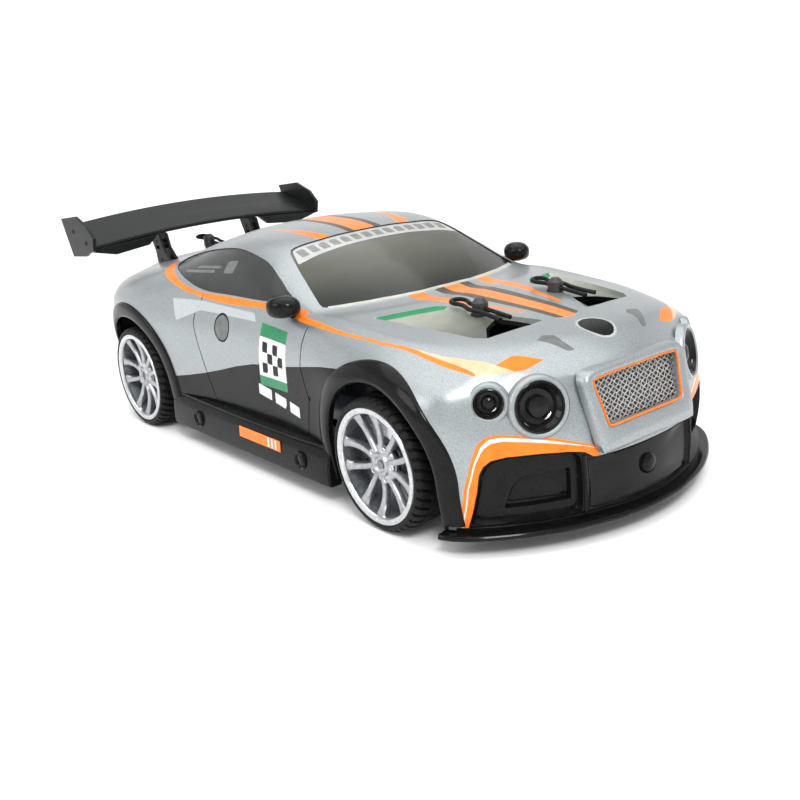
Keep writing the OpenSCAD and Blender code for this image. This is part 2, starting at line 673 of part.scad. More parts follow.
module pinion_gear() color("goldenrod") {
  gear_x(12, 12 + gear_w + 1, motor_y, motor_z, pinion_n, mesh_a + 180 + 180 / pinion_n, 0.9);
  rod_x(-12, 17, motor_y, motor_z, 1);
}

module rear_axle() color("silver") {
  rod_x(-60, 60, rear_y, axle_z, 2);
  both() rod_x(27.2, 29.2, rear_y, axle_z, 3.4);
}

module spur_gear() color("white") {
  gear_x(12.5, 12.5 + gear_w, rear_y, axle_z, spur_n, mesh_a, 2);
  difference() {
    rod_x(16, 20.5, rear_y, axle_z, 5);
    rod_x(15, 21, rear_y, axle_z, 2);
  }
}

module in_rear_damper()
  translate([0, rdamp_b[0], rdamp_b[1]])
    rotate([90 - atan2(rdamp_a[1] - rdamp_b[1], rdamp_b[0] - rdamp_a[0]), 0, 0]) children();

module rear_damper_cylinder() color("silver") in_rear_damper() difference() {
  union() {
    translate([0, 0, 13]) cylinder(r = 3.1, h = rdamp_l - 15.2);
    translate([0, 0, 23]) cylinder(r = 4.6, h = 1.1);
    rod_x(-2.7, 2.7, 0, rdamp_l, 2.4);
  }
  translate([0, 0, 12]) cylinder(r = 1.1, h = 14);
  rod_x(-4, 4, 0, rdamp_l, bore_r);
}

module rear_damper_rod() color("gainsboro") in_rear_damper() difference() {
  union() {
    rod_x(-2.7, 2.7, 0, 0, 2.5);
    translate([0, 0, 1.8]) cylinder(r = 1.6, h = 3);
    translate([0, 0, 4.6]) cylinder(r = 4.6, h = 1.1);
    translate([0, 0, 3]) cylinder(r = 1.02, h = 19.5);
  }
  rod_x(-4, 4, 0, 0, pin_r + eye_play);
}

module rear_damper_spring() color("red") in_rear_damper() coil(6.2, 22.5, 3.95, 0.45, 6);

// ---------- body clips ----------
clip_path = concat(
  [[0, -14, 0], [0, -8, 0], [0, 0, 0], [0, 4.8, 0]],
  [for (a = [-60:-25:-310]) [1.3 + 2.8 * sin(a), 8.6 - 2.8 * cos(a), 0]],
  [[3.2, 5.0, 0], [3.5, 3.4, 0], [4.3, 1.6, 0], [4.6, 0, 0], [4.3, -1.6, 0], [3.75, -3.6, 0],
   [3.7, -6, 0], [4.0, -10, 0], [4.6, -14, 0]]
);
module body_clip(x, y, z, turn) color("black")
  translate([x, y, z - 3]) rotate([clip_rise, 0, 0]) sweep(turn > 0 ? clip_path : flipped_path(clip_path), 0.78, 8);
function flipped_path(path) = [for (i = [len(path) - 1:-1:0]) [-path[i][0], path[i][1], path[i][2]]];

// ---------- body shell ----------
side_window = [
  [69, 72.4], [63.5, 74.8], [47, 78.1], [36, 79.8], [25.5, 80.9], [15.8, 81.2], [4.7, 80], [-6.3, 77.6],
  [-15.9, 73.6], [-22.5, 70.2], [-28.5, 66.6], [-9.7, 66.1], [10.3, 65.9], [25.4, 65.7], [34.9, 66.4],
  [44.2, 68.1], [53.4, 69.8], [61.9, 71]
];
windscreen = mirrored([
  [0, -56.6], [12, -56], [22, -53.8], [32, -50.2], [41, -45.6], [45.5, -42.2], [46.3, -40], [43.4, -29],
  [40.2, -17.2], [37.6, -9.6], [36, -8.6], [28, -8], [14, -7.3], [0, -7]
]);
rear_window = mirrored([[0, 52], [18, 52.5], [31, 56], [35, 66], [33, 82], [27, 93], [0, 96]]);
grille_hole = mirrored([[17.5, 35.6], [19.2, 43], [20.2, 48.6], [18.6, 50], [0, 50]]);
grille_frame = mirrored([
  [0, 27.6], [20.5, 27.8], [22.4, 30], [23.2, 42], [24, 50], [21.5, 52.2], [0, 52.6]
]);
lamps = [[36, -133.2, 44.2, 8.5, 24], [48, -124.1, 46.6, 5.2, 44]];
side_intake = [[55.8, 9.2], [53.4, 26.5], [50.8, 29.8], [46.9, 30.7], [38, 30.4], [26, 29.6], [26, 9.2]];
centre_intake = mirrored([[0, 9.2], [23.8, 9.2], [23.8, 26.2], [0, 26.2]]);

module at_lamp(p) translate([p[0], p[1], p[2]]) rotate([90, 0, 0]) rotate([-9, p[4], 0]) children();

module windows_cut() {
  both() side_cut(38, 62, side_window);
  top_cut(58, 96, windscreen);
  top_cut(58, 96, rear_window);
}

// the grille's frame leans back with the nose
module leaning(y) multmatrix([
  [1, 0, 0, 0],
  [0, 1, lean_k, y - lean_k * lean_z],
  [0, 0, 1, 0],
  [0, 0, 0, 1]
]) children();

module body_shell() color("lightsteelblue") resize([0, 0, 0]) difference() {
  union() {
    shell_solid(52, 14, skin_t);
    leaning(0) front_cut(-146.4, -141.8, grille_frame);
    both() for (p = lamps) at_lamp(p) translate([0, 0, -1.4]) cylinder(r = p[3] + 1.3, h = 1.9, $fn = 28);
  }
  for (y = [front_y, rear_y]) both() rod_x(44, 80, y, axle_z, arch_r);
  both() box(50, 70, front_y - arch_r, front_y + arch_r, 0, axle_z);
  both() box(50, 70, rear_y - arch_r, rear_y + arch_r, 0, axle_z);
  windows_cut();
  leaning(0) front_cut(-160, -120, grille_hole);
  both() for (p = lamps) at_lamp(p) translate([0, 0, -5]) cylinder(r = p[3] - 0.2, h = 12, $fn = 28);
  both() front_cut(-160, -112, side_intake);
  front_cut(-160, -130, centre_intake);
  both() rod_z(post_x, post_y, 50, 75, post_r + 0.8);
  rod_z(0, rear_post_y, 50, 80, post_r + 0.8);
  both() top_cut(55, 70, [[10.5, -107], [25, -101.4], [20.5, -96.5], [11.5, -98]]);
}

module window_panels() color("darkslategray", 0.8) resize([0, 0, 0]) intersection() {
  both() skin_slab(8.6, 16, 3.6, 8, 22, 9, 0.25, 1.2);
  windows_cut();
}

module grille() color("gray") {
  leaning(0) difference() {
    front_cut(-143.2, -142.2, grille_hole);
    for (z = [38.5:3.2:48]) for (x = [-14:4:14]) translate([x, -146, z]) rotate([-90, 0, 0])
      cylinder(r = 1.1, h = 8, $fn = 4);
  }
}

module headlights() color("black") both() for (p = lamps) at_lamp(p) {
  difference() {
    translate([0, 0, -4.2]) cylinder(r = p[3] - 0.4, h = 4.4);
    translate([0, 0, -1.2]) cylinder(r1 = p[3] - 2.6, r2 = p[3] - 1.2, h = 2);
  }
  translate([0, 0, -2]) cylinder(r1 = p[3] * 0.42, r2 = p[3] * 0.3, h = 1.7);
}

module front_bumper() color("black") {
  resize([0, 0, 0]) {
    both() skin_slab(0, 3.9, 0.05, 2.05, 12, 4, skin_t + 0.2, skin_t + 1.6);
    both() intersection() {
      skin_slab(1, 2.4, 0.05, 1.7, 4, 4, 0.2, skin_t + 0.8);
      front_cut(-150, -130, [[24.1, 9.4], [25.7, 9.4], [25.7, 26], [24.1, 26]]);
    }
  }
  rod_y(0, -145.6, -140.6, 18.2, 3.4);
}

function hem(us, d) = [for (r = skin_rows(us, [0], d)) [r[0][0], r[0][1]]];
module lip(u0, u1, z0, z1, out, in) {
  us = steps(u0, u1, 16);
  a = hem(us, -out);
  b = hem(us, in);
  top_cut(z0, z1, concat(a, [for (i = [len(b) - 1:-1:0]) b[i]]));
}

module front_splitter() color("black") both() {
  lip(0, 4.25, 5.6, 7.7, 4.4, 9);
  intersection() {
    lip(0, 4.25, 7.6, 9, -0.2, 2.4);
    box(0, 70, -160, -112, 0, 20);
  }
}

module rear_diffuser() color("black") {
  both() {
    lip(17.1, 20, 5.8, 7.7, 0.4, 10);
    lip(17.1, 18, 7.6, 16, -skin_t - 0.2, skin_t + 1.6);
  }
  for (x = [-18, -6, 6, 18]) box(x - 0.6, x + 0.6, 122, 129.5, 7.6, 12.6);
}

module side_skirts() color("black") {
  both() front_cut(-57.6, 57.6, [
    [57.2, 7], [62.4, 7], [63, 9], [62.6, 16.6], [60.4, 20.2], [58.6, 21], [57.6, 21]
  ]);
  both() for (y = [-41.2, 33.7]) rod_x(62, 63.7, y, 13.6, 3.3);
  resize([0, 0, 0]) both() for (w = [[4, 8.2, front_y], [13.2, 17.6, rear_y]]) intersection() {
    skin_slab(w[0], w[1], 0.2, 4.2, 12, 7, -0.8, -0.05);
    difference() {
      rod_x(50, 75, w[2], axle_z, arch_trim_r, $fn = 64);
      rod_x(49, 76, w[2], axle_z, arch_r, $fn = 64);
      box(48, 77, w[2] - 40, w[2] + 40, -20, 9);
    }
  }
}

module door_mirrors() color("black") both() {
  resize([0, 0, 0]) hull() {
    translate([57.6, -33.2, 66.4]) sphere(r = 3.0, $fn = 16);
    translate([60.6, -32.6, 67.0]) sphere(r = 3.4, $fn = 16);
    translate([63.4, -31.2, 67.0]) sphere(r = 2.6, $fn = 16);
    translate([60.0, -36.4, 66.4]) sphere(r = 2.2, $fn = 16);
  }
  resize([0, 0, 0]) hull() {
    translate([52.4, -32.4, 62.2]) sphere(r = 1.2, $fn = 14);
    translate([56.2, -32.4, 64.4]) sphere(r = 1.3, $fn = 14);
  }
}

wing_plate = [
  [149.9, 89.5], [132.8, 91.2], [121, 87.1], [115.2, 81.9], [116.7, 76.2], [123.4, 74.7], [126.9, 73.1],
  [141.8, 72]
];
// blade section as [y, z], bowed upwards towards the middle of the span
blade = [
  [120.2, 76.6], [121.6, 78.2], [126, 79.9], [132, 81.6], [139, 83.6], [145.6, 86.2], [146.2, 85.6],
  [140, 82.2], [132, 79.4], [126, 77.6], [121.4, 76]
];
function bow(x) = 3.2 * (1 - pow(x / wing_half, 2));
module rear_wing() color("black") {
  both() side_cut(wing_half, wing_half + 1.6, wing_plate);
  xs = steps(-wing_half - 0.2, wing_half + 0.2, 12);
  n = len(blade);
  polyhedron(
    [for (x = xs) for (p = blade) [x, p[0], p[1] + bow(x)]],
    [
      for (i = [0:len(xs) - 2]) for (k = [0:n - 1])
        each [
          [i * n + k, i * n + (k + 1) % n, (i + 1) * n + (k + 1) % n],
          [i * n + k, (i + 1) * n + (k + 1) % n, (i + 1) * n + k]
        ],
      [for (k = [0:n - 1]) n - 1 - k],
      [for (k = [0:n - 1]) (len(xs) - 1) * n + k]
    ]
  );
  both() front_cut(119.4, 122.4, [[28, 78.6], [60.6, 76.4], [60.6, 75.2], [50, 72.6], [33, 74.4]]);
}

module wing_stands() color("black") both() {
  for (x = [22.6, 26.2]) side_cut(x, x + 1.2, [
    [110, 63.6], [125.6, 62.6], [126.4, 70], [131.6, 80.6], [120.6, 78.2], [118.6, 72]
  ]);
  box(22.6, 27.4, 121.6, 125, 71, 73);
}

chassis_tub();
front_bulkhead();
front_shock_tower();
front_hinge_pins();
front_body_posts();
rear_body_post();
rear_damper_tower();
steering_servo();
electronics_box();
battery_pack();
battery_lead();
chassis_screws();
servo_horn();
steering_bar();
battery_strap();
power_switch_knob();
lower_arm(1);  // lower_arm_left
upper_arm(1);  // upper_arm_left
c_hub(1);  // c_hub_left
knuckle(1);  // knuckle_left
front_rim(1);  // front_rim_left
front_tyre(1);  // front_tyre_left
damper_cylinder(1);  // damper_cylinder_left
damper_rod(1);  // damper_rod_left
damper_spring(1);  // damper_spring_left
lower_arm(-1);  // lower_arm_right
upper_arm(-1);  // upper_arm_right
c_hub(-1);  // c_hub_right
knuckle(-1);  // knuckle_right
front_rim(-1);  // front_rim_right
front_tyre(-1);  // front_tyre_right
damper_cylinder(-1);  // damper_cylinder_right
damper_rod(-1);  // damper_rod_right
damper_spring(-1);  // damper_spring_right
rear_pod();
drive_motor();
pinion_gear();
rear_axle();
spur_gear();
rear_rim(1);  // rear_rim_left
rear_rim(-1);  // rear_rim_right
rear_tyre(1);  // rear_tyre_left
rear_tyre(-1);  // rear_tyre_right
rear_damper_cylinder();
rear_damper_rod();
rear_damper_spring();
body_clip(post_x, post_y, front_post_z, 1);  // front_clip_left
body_clip(-post_x, post_y, front_post_z, -1);  // front_clip_right
body_clip(0, rear_post_y, rear_post_z, 1);  // rear_clip
body_shell();
window_panels();
grille();
headlights();
front_bumper();
front_splitter();
side_skirts();
door_mirrors();
rear_wing();
wing_stands();
rear_diffuser();
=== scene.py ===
"""Looks of the small-scale drift car: painted coupe shell, glazing, grille, lamps, aero parts and wheels,
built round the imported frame. Outlines are in millimetres and turn into metres when a mesh is made."""
import math

import bmesh
import bpy
import numpy as np
from mathutils import Matrix, Vector


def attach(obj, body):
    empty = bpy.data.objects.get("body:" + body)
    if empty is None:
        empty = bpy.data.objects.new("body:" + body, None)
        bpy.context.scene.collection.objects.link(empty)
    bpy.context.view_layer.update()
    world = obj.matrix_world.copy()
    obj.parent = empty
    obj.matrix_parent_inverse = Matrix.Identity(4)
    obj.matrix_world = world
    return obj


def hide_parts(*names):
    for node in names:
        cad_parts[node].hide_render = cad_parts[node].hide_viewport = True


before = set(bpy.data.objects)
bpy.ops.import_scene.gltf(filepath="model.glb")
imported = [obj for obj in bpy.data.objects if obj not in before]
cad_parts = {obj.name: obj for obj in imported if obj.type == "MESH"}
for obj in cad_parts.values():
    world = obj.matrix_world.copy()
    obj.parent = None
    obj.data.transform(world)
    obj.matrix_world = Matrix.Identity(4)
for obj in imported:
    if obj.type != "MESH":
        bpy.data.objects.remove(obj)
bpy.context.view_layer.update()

MM = 0.001
FRONT_Y, REAR_Y, AXLE_Z = -86.0, 86.0, 22.4
ARCH_R = 28.0
HALF_TRACK = 55.3
SKIN_T = 1.5
SNAP = 0.03                                          # points this near a cut line are taken as on it
GROOVE_HALF, GROOVE_DEPTH = 0.3, 0.45                # shut lines of the doors
VENT_EDGE, VENT_DEPTH = 1.1, 1.0                     # width of the step into the hood panels, and its depth
PANE_TOP, PANE_BOTTOM = 0.35, 1.25                   # depth of the glass under the skin


# ---------- materials ----------
def surface(name, colour, second=None, rough=0.4, rough_span=0.1, metallic=0.0, grain=250.0, bump=0.1,
            bump_scale=None, coat=0.0, coat_rough=0.08, ramp=(0.35, 0.65), specular=0.5):
    """Moulded, painted or metal finish: noise varies colour and roughness, finer noise gives the bump."""
    m = bpy.data.materials.new(name)
    m.use_nodes = True
    nt = m.node_tree
    shader = nt.nodes["Principled BSDF"]
    shader.inputs["Metallic"].default_value = metallic
    shader.inputs["Coat Weight"].default_value = coat
    shader.inputs["Coat Roughness"].default_value = coat_rough
    shader.inputs["Specular IOR Level"].default_value = specular
    place = nt.nodes.new("ShaderNodeTexCoord")
    broad = nt.nodes.new("ShaderNodeTexNoise")
    broad.inputs["Scale"].default_value = grain
    broad.inputs["Detail"].default_value = 6
    nt.links.new(place.outputs["Object"], broad.inputs["Vector"])
    tones = nt.nodes.new("ShaderNodeValToRGB")
    second = second or tuple(c * 0.8 for c in colour)
    tones.color_ramp.elements[0].position, tones.color_ramp.elements[1].position = ramp
    tones.color_ramp.elements[0].color = (*second, 1)
    tones.color_ramp.elements[1].color = (*colour, 1)
    nt.links.new(broad.outputs["Fac"], tones.inputs["Fac"])
    nt.links.new(tones.outputs["Color"], shader.inputs["Base Color"])
    spread = nt.nodes.new("ShaderNodeMapRange")
    spread.inputs["To Min"].default_value = max(rough - rough_span, 0.02)
    spread.inputs["To Max"].default_value = min(rough + rough_span, 1)
    nt.links.new(broad.outputs["Fac"], spread.inputs["Value"])
    nt.links.new(spread.outputs["Result"], shader.inputs["Roughness"])
    fine = nt.nodes.new("ShaderNodeTexNoise")
    fine.inputs["Scale"].default_value = bump_scale or grain * 6
    fine.inputs["Detail"].default_value = 4
    nt.links.new(place.outputs["Object"], fine.inputs["Vector"])
    relief = nt.nodes.new("ShaderNodeBump")
    relief.inputs["Strength"].default_value = bump
    relief.inputs["Distance"].default_value = 0.0002
    nt.links.new(fine.outputs["Fac"], relief.inputs["Height"])
    nt.links.new(relief.outputs["Normal"], shader.inputs["Normal"])
    return m


def tinted_along(m, axis, low, high, start, end):
    """Blends the base colour of m from low to high along an axis, in metres, under its noise."""
    nt = m.node_tree
    shader = nt.nodes["Principled BSDF"]
    old = shader.inputs["Base Color"].links[0].from_socket
    place = next(n for n in nt.nodes if n.type == "TEX_COORD")
    split = nt.nodes.new("ShaderNodeSeparateXYZ")
    nt.links.new(place.outputs["Object"], split.inputs["Vector"])
    rise = nt.nodes.new("ShaderNodeMapRange")
    rise.inputs["From Min"].default_value, rise.inputs["From Max"].default_value = start, end
    nt.links.new(split.outputs[axis], rise.inputs["Value"])
    tones = nt.nodes.new("ShaderNodeValToRGB")
    tones.color_ramp.elements[0].color = (*low, 1)
    tones.color_ramp.elements[1].color = (*high, 1)
    nt.links.new(rise.outputs["Result"], tones.inputs["Fac"])
    both = nt.nodes.new("ShaderNodeMix")
    both.data_type = "RGBA"
    both.blend_type = "MULTIPLY"
    both.inputs["Factor"].default_value = 1
    nt.links.new(tones.outputs["Color"], both.inputs[6])
    nt.links.new(old, both.inputs[7])
    nt.links.new(both.outputs[2], shader.inputs["Base Color"])
    return m


def paint(name, colour, second, rough=0.34, rough_span=0.05, metallic=0.0, grain=300):
    return surface(name, colour, second, rough, rough_span, metallic, grain, 0.05, coat=0.2, coat_rough=0.1,
                   specular=0.2)


silver = surface("silver_paint", (0.36, 0.39, 0.40), (0.26, 0.285, 0.295), 0.30, 0.06, 0.68, 2600, 0.3, 3200,
                 coat=0.2, coat_rough=0.12, specular=0.3)
orange = paint("orange_paint", (0.90, 0.20, 0.012), (0.80, 0.16, 0.008), 0.34, 0.05, 0.0, 300)
pale_orange = paint("pale_orange_paint", (0.72, 0.47, 0.31), (0.66, 0.40, 0.24), 0.34, 0.05, 0.1, 300)
white = paint("white_paint", (0.70, 0.71, 0.71), (0.62, 0.63, 0.63), 0.34, 0.05, 0.0, 260)
mist = paint("mist_paint", (0.50, 0.53, 0.54), (0.42, 0.45, 0.46), 0.34, 0.06, 0.4, 1800)
olive = paint("olive_paint", (0.050, 0.042, 0.025), (0.030, 0.027, 0.018), 0.34, 0.06, 0.1, 300)
green = paint("green_paint", (0.012, 0.22, 0.09), (0.010, 0.17, 0.07), 0.34, 0.05, 0.0, 300)
grey = paint("grey_paint", (0.16, 0.17, 0.17), (0.11, 0.12, 0.12), 0.36, 0.06, 0.3, 300)
cream = tinted_along(paint("cream_paint", (1.0, 1.0, 0.94), (0.84, 0.86, 0.78), 0.38, 0.06, 0.2, 200),
                     "Y", (0.10, 0.11, 0.10), (0.42, 0.43, 0.38), -0.104, -0.066)
black_paint = surface("black_paint", (0.006, 0.007, 0.006), (0.004, 0.0045, 0.0045), 0.26, 0.05, 0.0, 220,
                      coat=0.06, coat_rough=0.12, bump=0.06, specular=0.1)
gloss_black = surface("gloss_black", (0.004, 0.004, 0.004), (0.006, 0.006, 0.006), 0.16, 0.04, 0.0, 240,
                      coat=0.12, coat_rough=0.06, bump=0.05, specular=0.1)
satin_black = surface(
    "satin_black", (0.008, 0.008, 0.008), (0.005, 0.005, 0.0055), 0.4, 0.08, 0.0, 420, 0.25, 1500,
    specular=0.16)
wing_black = surface(
    "wing_black", (0.010, 0.011, 0.011), (0.006, 0.007, 0.007), 0.36, 0.09, 0.0, 300, 0.3, 1800,
    specular=0.16)
groove_black = surface("groove_black", (0.05, 0.052, 0.055), (0.03, 0.03, 0.032), 0.6, 0.1, 0.0, 500, 0.2)
bare_inside = surface("bare_inside", (0.05, 0.05, 0.052), (0.035, 0.035, 0.037), 0.55, 0.1, 0.0, 200, 0.3)
# Smoked glass of the windscreen and rear window: its base colour runs from dark low down to lighter high up, a
# painted reflection of the light from above.
smoke_painted_reflection = tinted_along(
    surface("window_smoke", (1.0, 1.0, 1.0), (0.82, 0.85, 0.83), 0.16, 0.04, 0.0, 60, coat=0.1, coat_rough=0.05,
            bump=0.02, ramp=(0.3, 0.7), specular=0.12),
    "Z", (0.006, 0.008, 0.006), (0.12, 0.12, 0.10), 0.0660, 0.0800)
side_glass = tinted_along(
    surface("side_glass", (1.0, 1.0, 1.0), (0.84, 0.86, 0.86), 0.2, 0.05, 0.0, 90, coat=0.1, coat_rough=0.06,
            bump=0.02, ramp=(0.3, 0.7), specular=0.15),
    "Z", (0.030, 0.032, 0.032), (0.045, 0.047, 0.047), 0.066, 0.080)
tail_red = surface("tail_red", (0.20, 0.004, 0.003), (0.14, 0.003, 0.002), 0.18, 0.04, 0.0, 300, coat=0.3,
                   coat_rough=0.04, bump=0.1, specular=0.3)
rim_silver = surface("rim_silver", (0.60, 0.61, 0.62), (0.46, 0.47, 0.49), 0.24, 0.06, 0.9, 700, 0.12, 2400,
                     coat=0.2, coat_rough=0.1)
spoke_silver = surface(
    "spoke_silver", (0.44, 0.45, 0.46), (0.32, 0.33, 0.35), 0.3, 0.06, 0.85, 700, 0.12, 2400, coat=0.1,
    coat_rough=0.1)
# Dark steel of the brake discs; on the rim's barrel it is painted shade inside the wheel.
disc_steel_and_painted_shade = surface("disc_steel_and_painted_shade", (0.20, 0.21, 0.22), (0.13, 0.14, 0.15), 0.38, 0.1, 0.7, 900, 0.3, 2600)
rubber = surface("tyre_rubber", (0.009, 0.009, 0.009), (0.005, 0.005, 0.005), 0.55, 0.1, 0.0, 500, 0.5, 2200,
                 specular=0.18)
lens = surface("lamp_black", (0.005, 0.005, 0.005), (0.012, 0.012, 0.012), 0.08, 0.03, 0.0, 220, coat=0.15,
               coat_rough=0.02, bump=0.03, specular=0.12)
strip_paint = paint("strip_paint", (0.42, 0.43, 0.43), (0.36, 0.37, 0.37), 0.3, 0.05, 0.1, 300)
strip_mark = paint("strip_mark", (0.20, 0.205, 0.19), (0.15, 0.155, 0.14), 0.3, 0.05, 0.1, 300)
screen_edge = paint("screen_edge", (0.44, 0.45, 0.39), (0.36, 0.37, 0.32), 0.3, 0.05, 0.1, 300)
mesh_silver = surface("mesh_silver", (0.58, 0.58, 0.56), (0.42, 0.42, 0.41), 0.3, 0.08, 0.7, 900, 0.2, 2600)
mesh_back = surface("mesh_back", (0.11, 0.11, 0.11), (0.07, 0.07, 0.07), 0.4, 0.08, 0.5, 900, 0.2, 2600)
# Bright metal for the painted reflections inside the headlamp lenses.
lens_painted_glint = surface("lamp_painted_glint", (0.75, 0.76, 0.76), (0.6, 0.61, 0.62), 0.2, 0.05, 0.8, 500)

# colour, second colour, roughness, its spread, metallic, grain, bump, bump scale and coat
CAD_TABLE = {
    "chassis_black": ((0.03, 0.03, 0.032), (0.02, 0.02, 0.021), 0.5, 0.1, 0.0, 350, 0.4, 1500),
    "anodised": ((0.22, 0.23, 0.25), (0.16, 0.17, 0.19), 0.32, 0.08, 0.8, 600, 0.2, 2000),
    "steel": ((0.55, 0.55, 0.56), (0.42, 0.42, 0.44), 0.28, 0.08, 0.95, 700, 0.15, 2400),
    "servo_case": ((0.025, 0.025, 0.028), (0.016, 0.016, 0.018), 0.45, 0.1, 0.0, 400, 0.35),
    "controller_case": ((0.03, 0.035, 0.045), (0.02, 0.024, 0.032), 0.42, 0.1, 0.0, 380, 0.3),
    "battery_wrap": ((0.03, 0.06, 0.16), (0.02, 0.045, 0.12), 0.28, 0.08, 0.0, 160, 0.2, 500, 0.5),
    "wire_insulation": ((0.5, 0.02, 0.015), (0.4, 0.015, 0.012), 0.4, 0.08, 0.0, 500, 0.2),
    "nylon_white": ((0.75, 0.74, 0.70), (0.66, 0.65, 0.61), 0.45, 0.08, 0.0, 400, 0.2),
    "switch_orange": ((0.8, 0.2, 0.03), (0.7, 0.16, 0.02), 0.4, 0.08, 0.0, 500, 0.2),
    "arm_black": ((0.028, 0.028, 0.03), (0.018, 0.018, 0.02), 0.48, 0.1, 0.0, 420, 0.4, 1700),
    "damper_body": ((0.5, 0.51, 0.53), (0.4, 0.41, 0.43), 0.3, 0.08, 0.85, 700, 0.15, 2200),
    "spring_orange": ((0.85, 0.2, 0.02), (0.72, 0.16, 0.015), 0.35, 0.07, 0.1, 600, 0.2),
    "motor_can": ((0.45, 0.45, 0.46), (0.34, 0.34, 0.35), 0.34, 0.1, 0.9, 600, 0.3, 2600),
    "gear_brass": ((0.65, 0.42, 0.14), (0.52, 0.33, 0.10), 0.32, 0.08, 0.95, 700, 0.2, 2200),
}
CAD_LOOKS = {name: surface(name, *look) for name, look in CAD_TABLE.items()}
CAD_LOOKS["clip_black"] = satin_black


# ---------- mesh making ----------
class Shape:
    """Collects vertices in millimetres and faces with a material number."""

    def __init__(self):
        self.verts, self.faces, self.mats = [], [], []

    def add(self, verts, faces, mat=0, matrix=None, mirror=False):
        base = len(self.verts)
        flip = np.array([-1, 1, 1]) if mirror else np.ones(3)
        for v in verts:
            p = Vector(v) if matrix is None else matrix @ Vector(v)
            self.verts.append((p[0] * flip[0], p[1], p[2]))
        for f in faces:
            self.faces.append([base + i for i in (reversed(f) if mirror else f)])
            self.mats.append(mat)
        return self


def piece(name, shape, looks, body, stands_for=(), bevel=0.0, sharp=35.0, segments=2):
    mesh = bpy.data.meshes.new(name)
    mesh.from_pydata([(x * MM, y * MM, z * MM) for x, y, z in shape.verts], [], shape.faces)
    for m in looks:
        mesh.materials.append(m)
    mesh.polygons.foreach_set("material_index", shape.mats)
    mesh.polygons.foreach_set("use_smooth", [True] * len(mesh.polygons))
    mesh.validate()
    if bevel:
        weld(mesh)
    mesh.update()
    mesh.set_sharp_from_angle(angle=math.radians(sharp))
    return place_piece(name, mesh, body, stands_for, bevel, segments)


def weld(mesh):
    """Joins coincident points, such as those on a lathe's axis, because a bevel can't work on them."""
    bm = bmesh.new()
    bm.from_mesh(mesh)
    bmesh.ops.remove_doubles(bm, verts=bm.verts, dist=0.001 * MM)
    bmesh.ops.delete(bm, geom=[e for e in bm.edges if not e.link_faces], context="EDGES")
    bm.to_mesh(mesh)
    bm.free()


def place_piece(name, mesh, body, stands_for=(), bevel=0.0, segments=2):
    obj = bpy.data.objects.new(name, mesh)
    bpy.context.scene.collection.objects.link(obj)
    if bevel:
        edge = obj.modifiers.new("edges", "BEVEL")
        edge.width = bevel * MM
        edge.segments = segments
        edge.limit_method = "ANGLE"
        edge.angle_limit = math.radians(32)
        edge.harden_normals = True
        edge.use_clamp_overlap = True
    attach(obj, body)
    if stands_for:
        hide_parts(*stands_for)
    return obj


def turned(axis, x=0, y=0, z=0):
    """Places a shape at a point after a quarter turn about the named axis."""
    return Matrix.Translation((x, y, z)) @ Matrix.Rotation(math.radians(90), 4, axis)


def upright(x=0):
    """Stands a slab's outline up in the plane of Y and Z, at x."""
    return Matrix(((0, 0, 1, x), (1, 0, 0, 0), (0, 1, 0, 0), (0, 0, 0, 1)))


def loft(rings, closed=True, caps=True, loop=False):
    """Skin over rings of equal length. closed joins each ring's ends, loop the last ring to the first."""
    n = len(rings[0])
    verts = [p for ring in rings for p in ring]
    faces = []
    count = len(rings)
    for i in range(count if loop else count - 1):
        a, b = i * n, (i + 1) % count * n
        for k in range(n if closed else n - 1):
            m = (k + 1) % n
            faces.append([a + k, a + m, b + m, b + k])
    if caps and not loop and closed:
        faces.append(list(range(n - 1, -1, -1)))
        faces.append([(count - 1) * n + k for k in range(n)])
    return verts, faces


def lathe(profile, n=64, closed=True):
    """Turns a profile of (radius, height) round Z. A closed profile makes a ring."""
    rings = []
    for i in range(n):
        a = 2 * math.pi * i / n
        rings.append([(r * math.cos(a), r * math.sin(a), z) for r, z in profile])
    verts, faces = loft(rings, closed=closed, caps=False, loop=True)
    return verts, faces


def slab(outline, z0, z1):
    verts = [(x, y, z0) for x, y in outline] + [(x, y, z1) for x, y in outline]
    n = len(outline)
    faces = [[i, (i + 1) % n, n + (i + 1) % n, n + i] for i in range(n)]
    return verts, faces + [list(range(n - 1, -1, -1)), list(range(n, 2 * n))]


def tube(path, r, n=10, loop=False):
    """Round tube along 3-D points; r is a number or one radius per point."""
    pts = [Vector(p) for p in path]
    rings = []
    side = None
    for i, p in enumerate(pts):
        before = pts[i - 1] if i or loop else p
        after = pts[(i + 1) % len(pts)] if i < len(pts) - 1 or loop else p
        along = (after - before).normalized()
        if side is None:
            side = along.orthogonal().normalized()
        side = (side - along * side.dot(along)).normalized()
        up = along.cross(side)
        radius = r[i] if hasattr(r, "__len__") else r
        rings.append([p + radius * (math.cos(a) * side + math.sin(a) * up)
                      for a in [2 * math.pi * k / n for k in range(n)]])
    return loft(rings, caps=not loop, loop=loop)


def smooth_path(points, parts=6, closed=False):
    """Catmull-Rom curve through the points."""
    p = np.array(points, float)
    n = len(p)
    out = []
    for i in range(n if closed else n - 1):
        if closed:
            a, b, c, d = p[i - 1], p[i], p[(i + 1) % n], p[(i + 2) % n]
        else:
            b, c = p[i], p[i + 1]
            a = p[i - 1] if i else 2 * b - c
            d = p[i + 2] if i < n - 2 else 2 * c - b
        for k in range(parts):
            out.append(catmull(a, b, c, d, k / parts))
    if not closed:
        out.append(p[-1])
    return np.array(out)


def catmull(a, b, c, d, t):
    square, cube = 2 * a - 5 * b + 4 * c - d, 3 * b - a - 3 * c + d
    return 0.5 * (2 * b + (c - a) * t + square * t * t + cube * t * t * t)


def smoothstep(t):
    t = np.clip(t, 0, 1)
    return t * t * (3 - 2 * t)


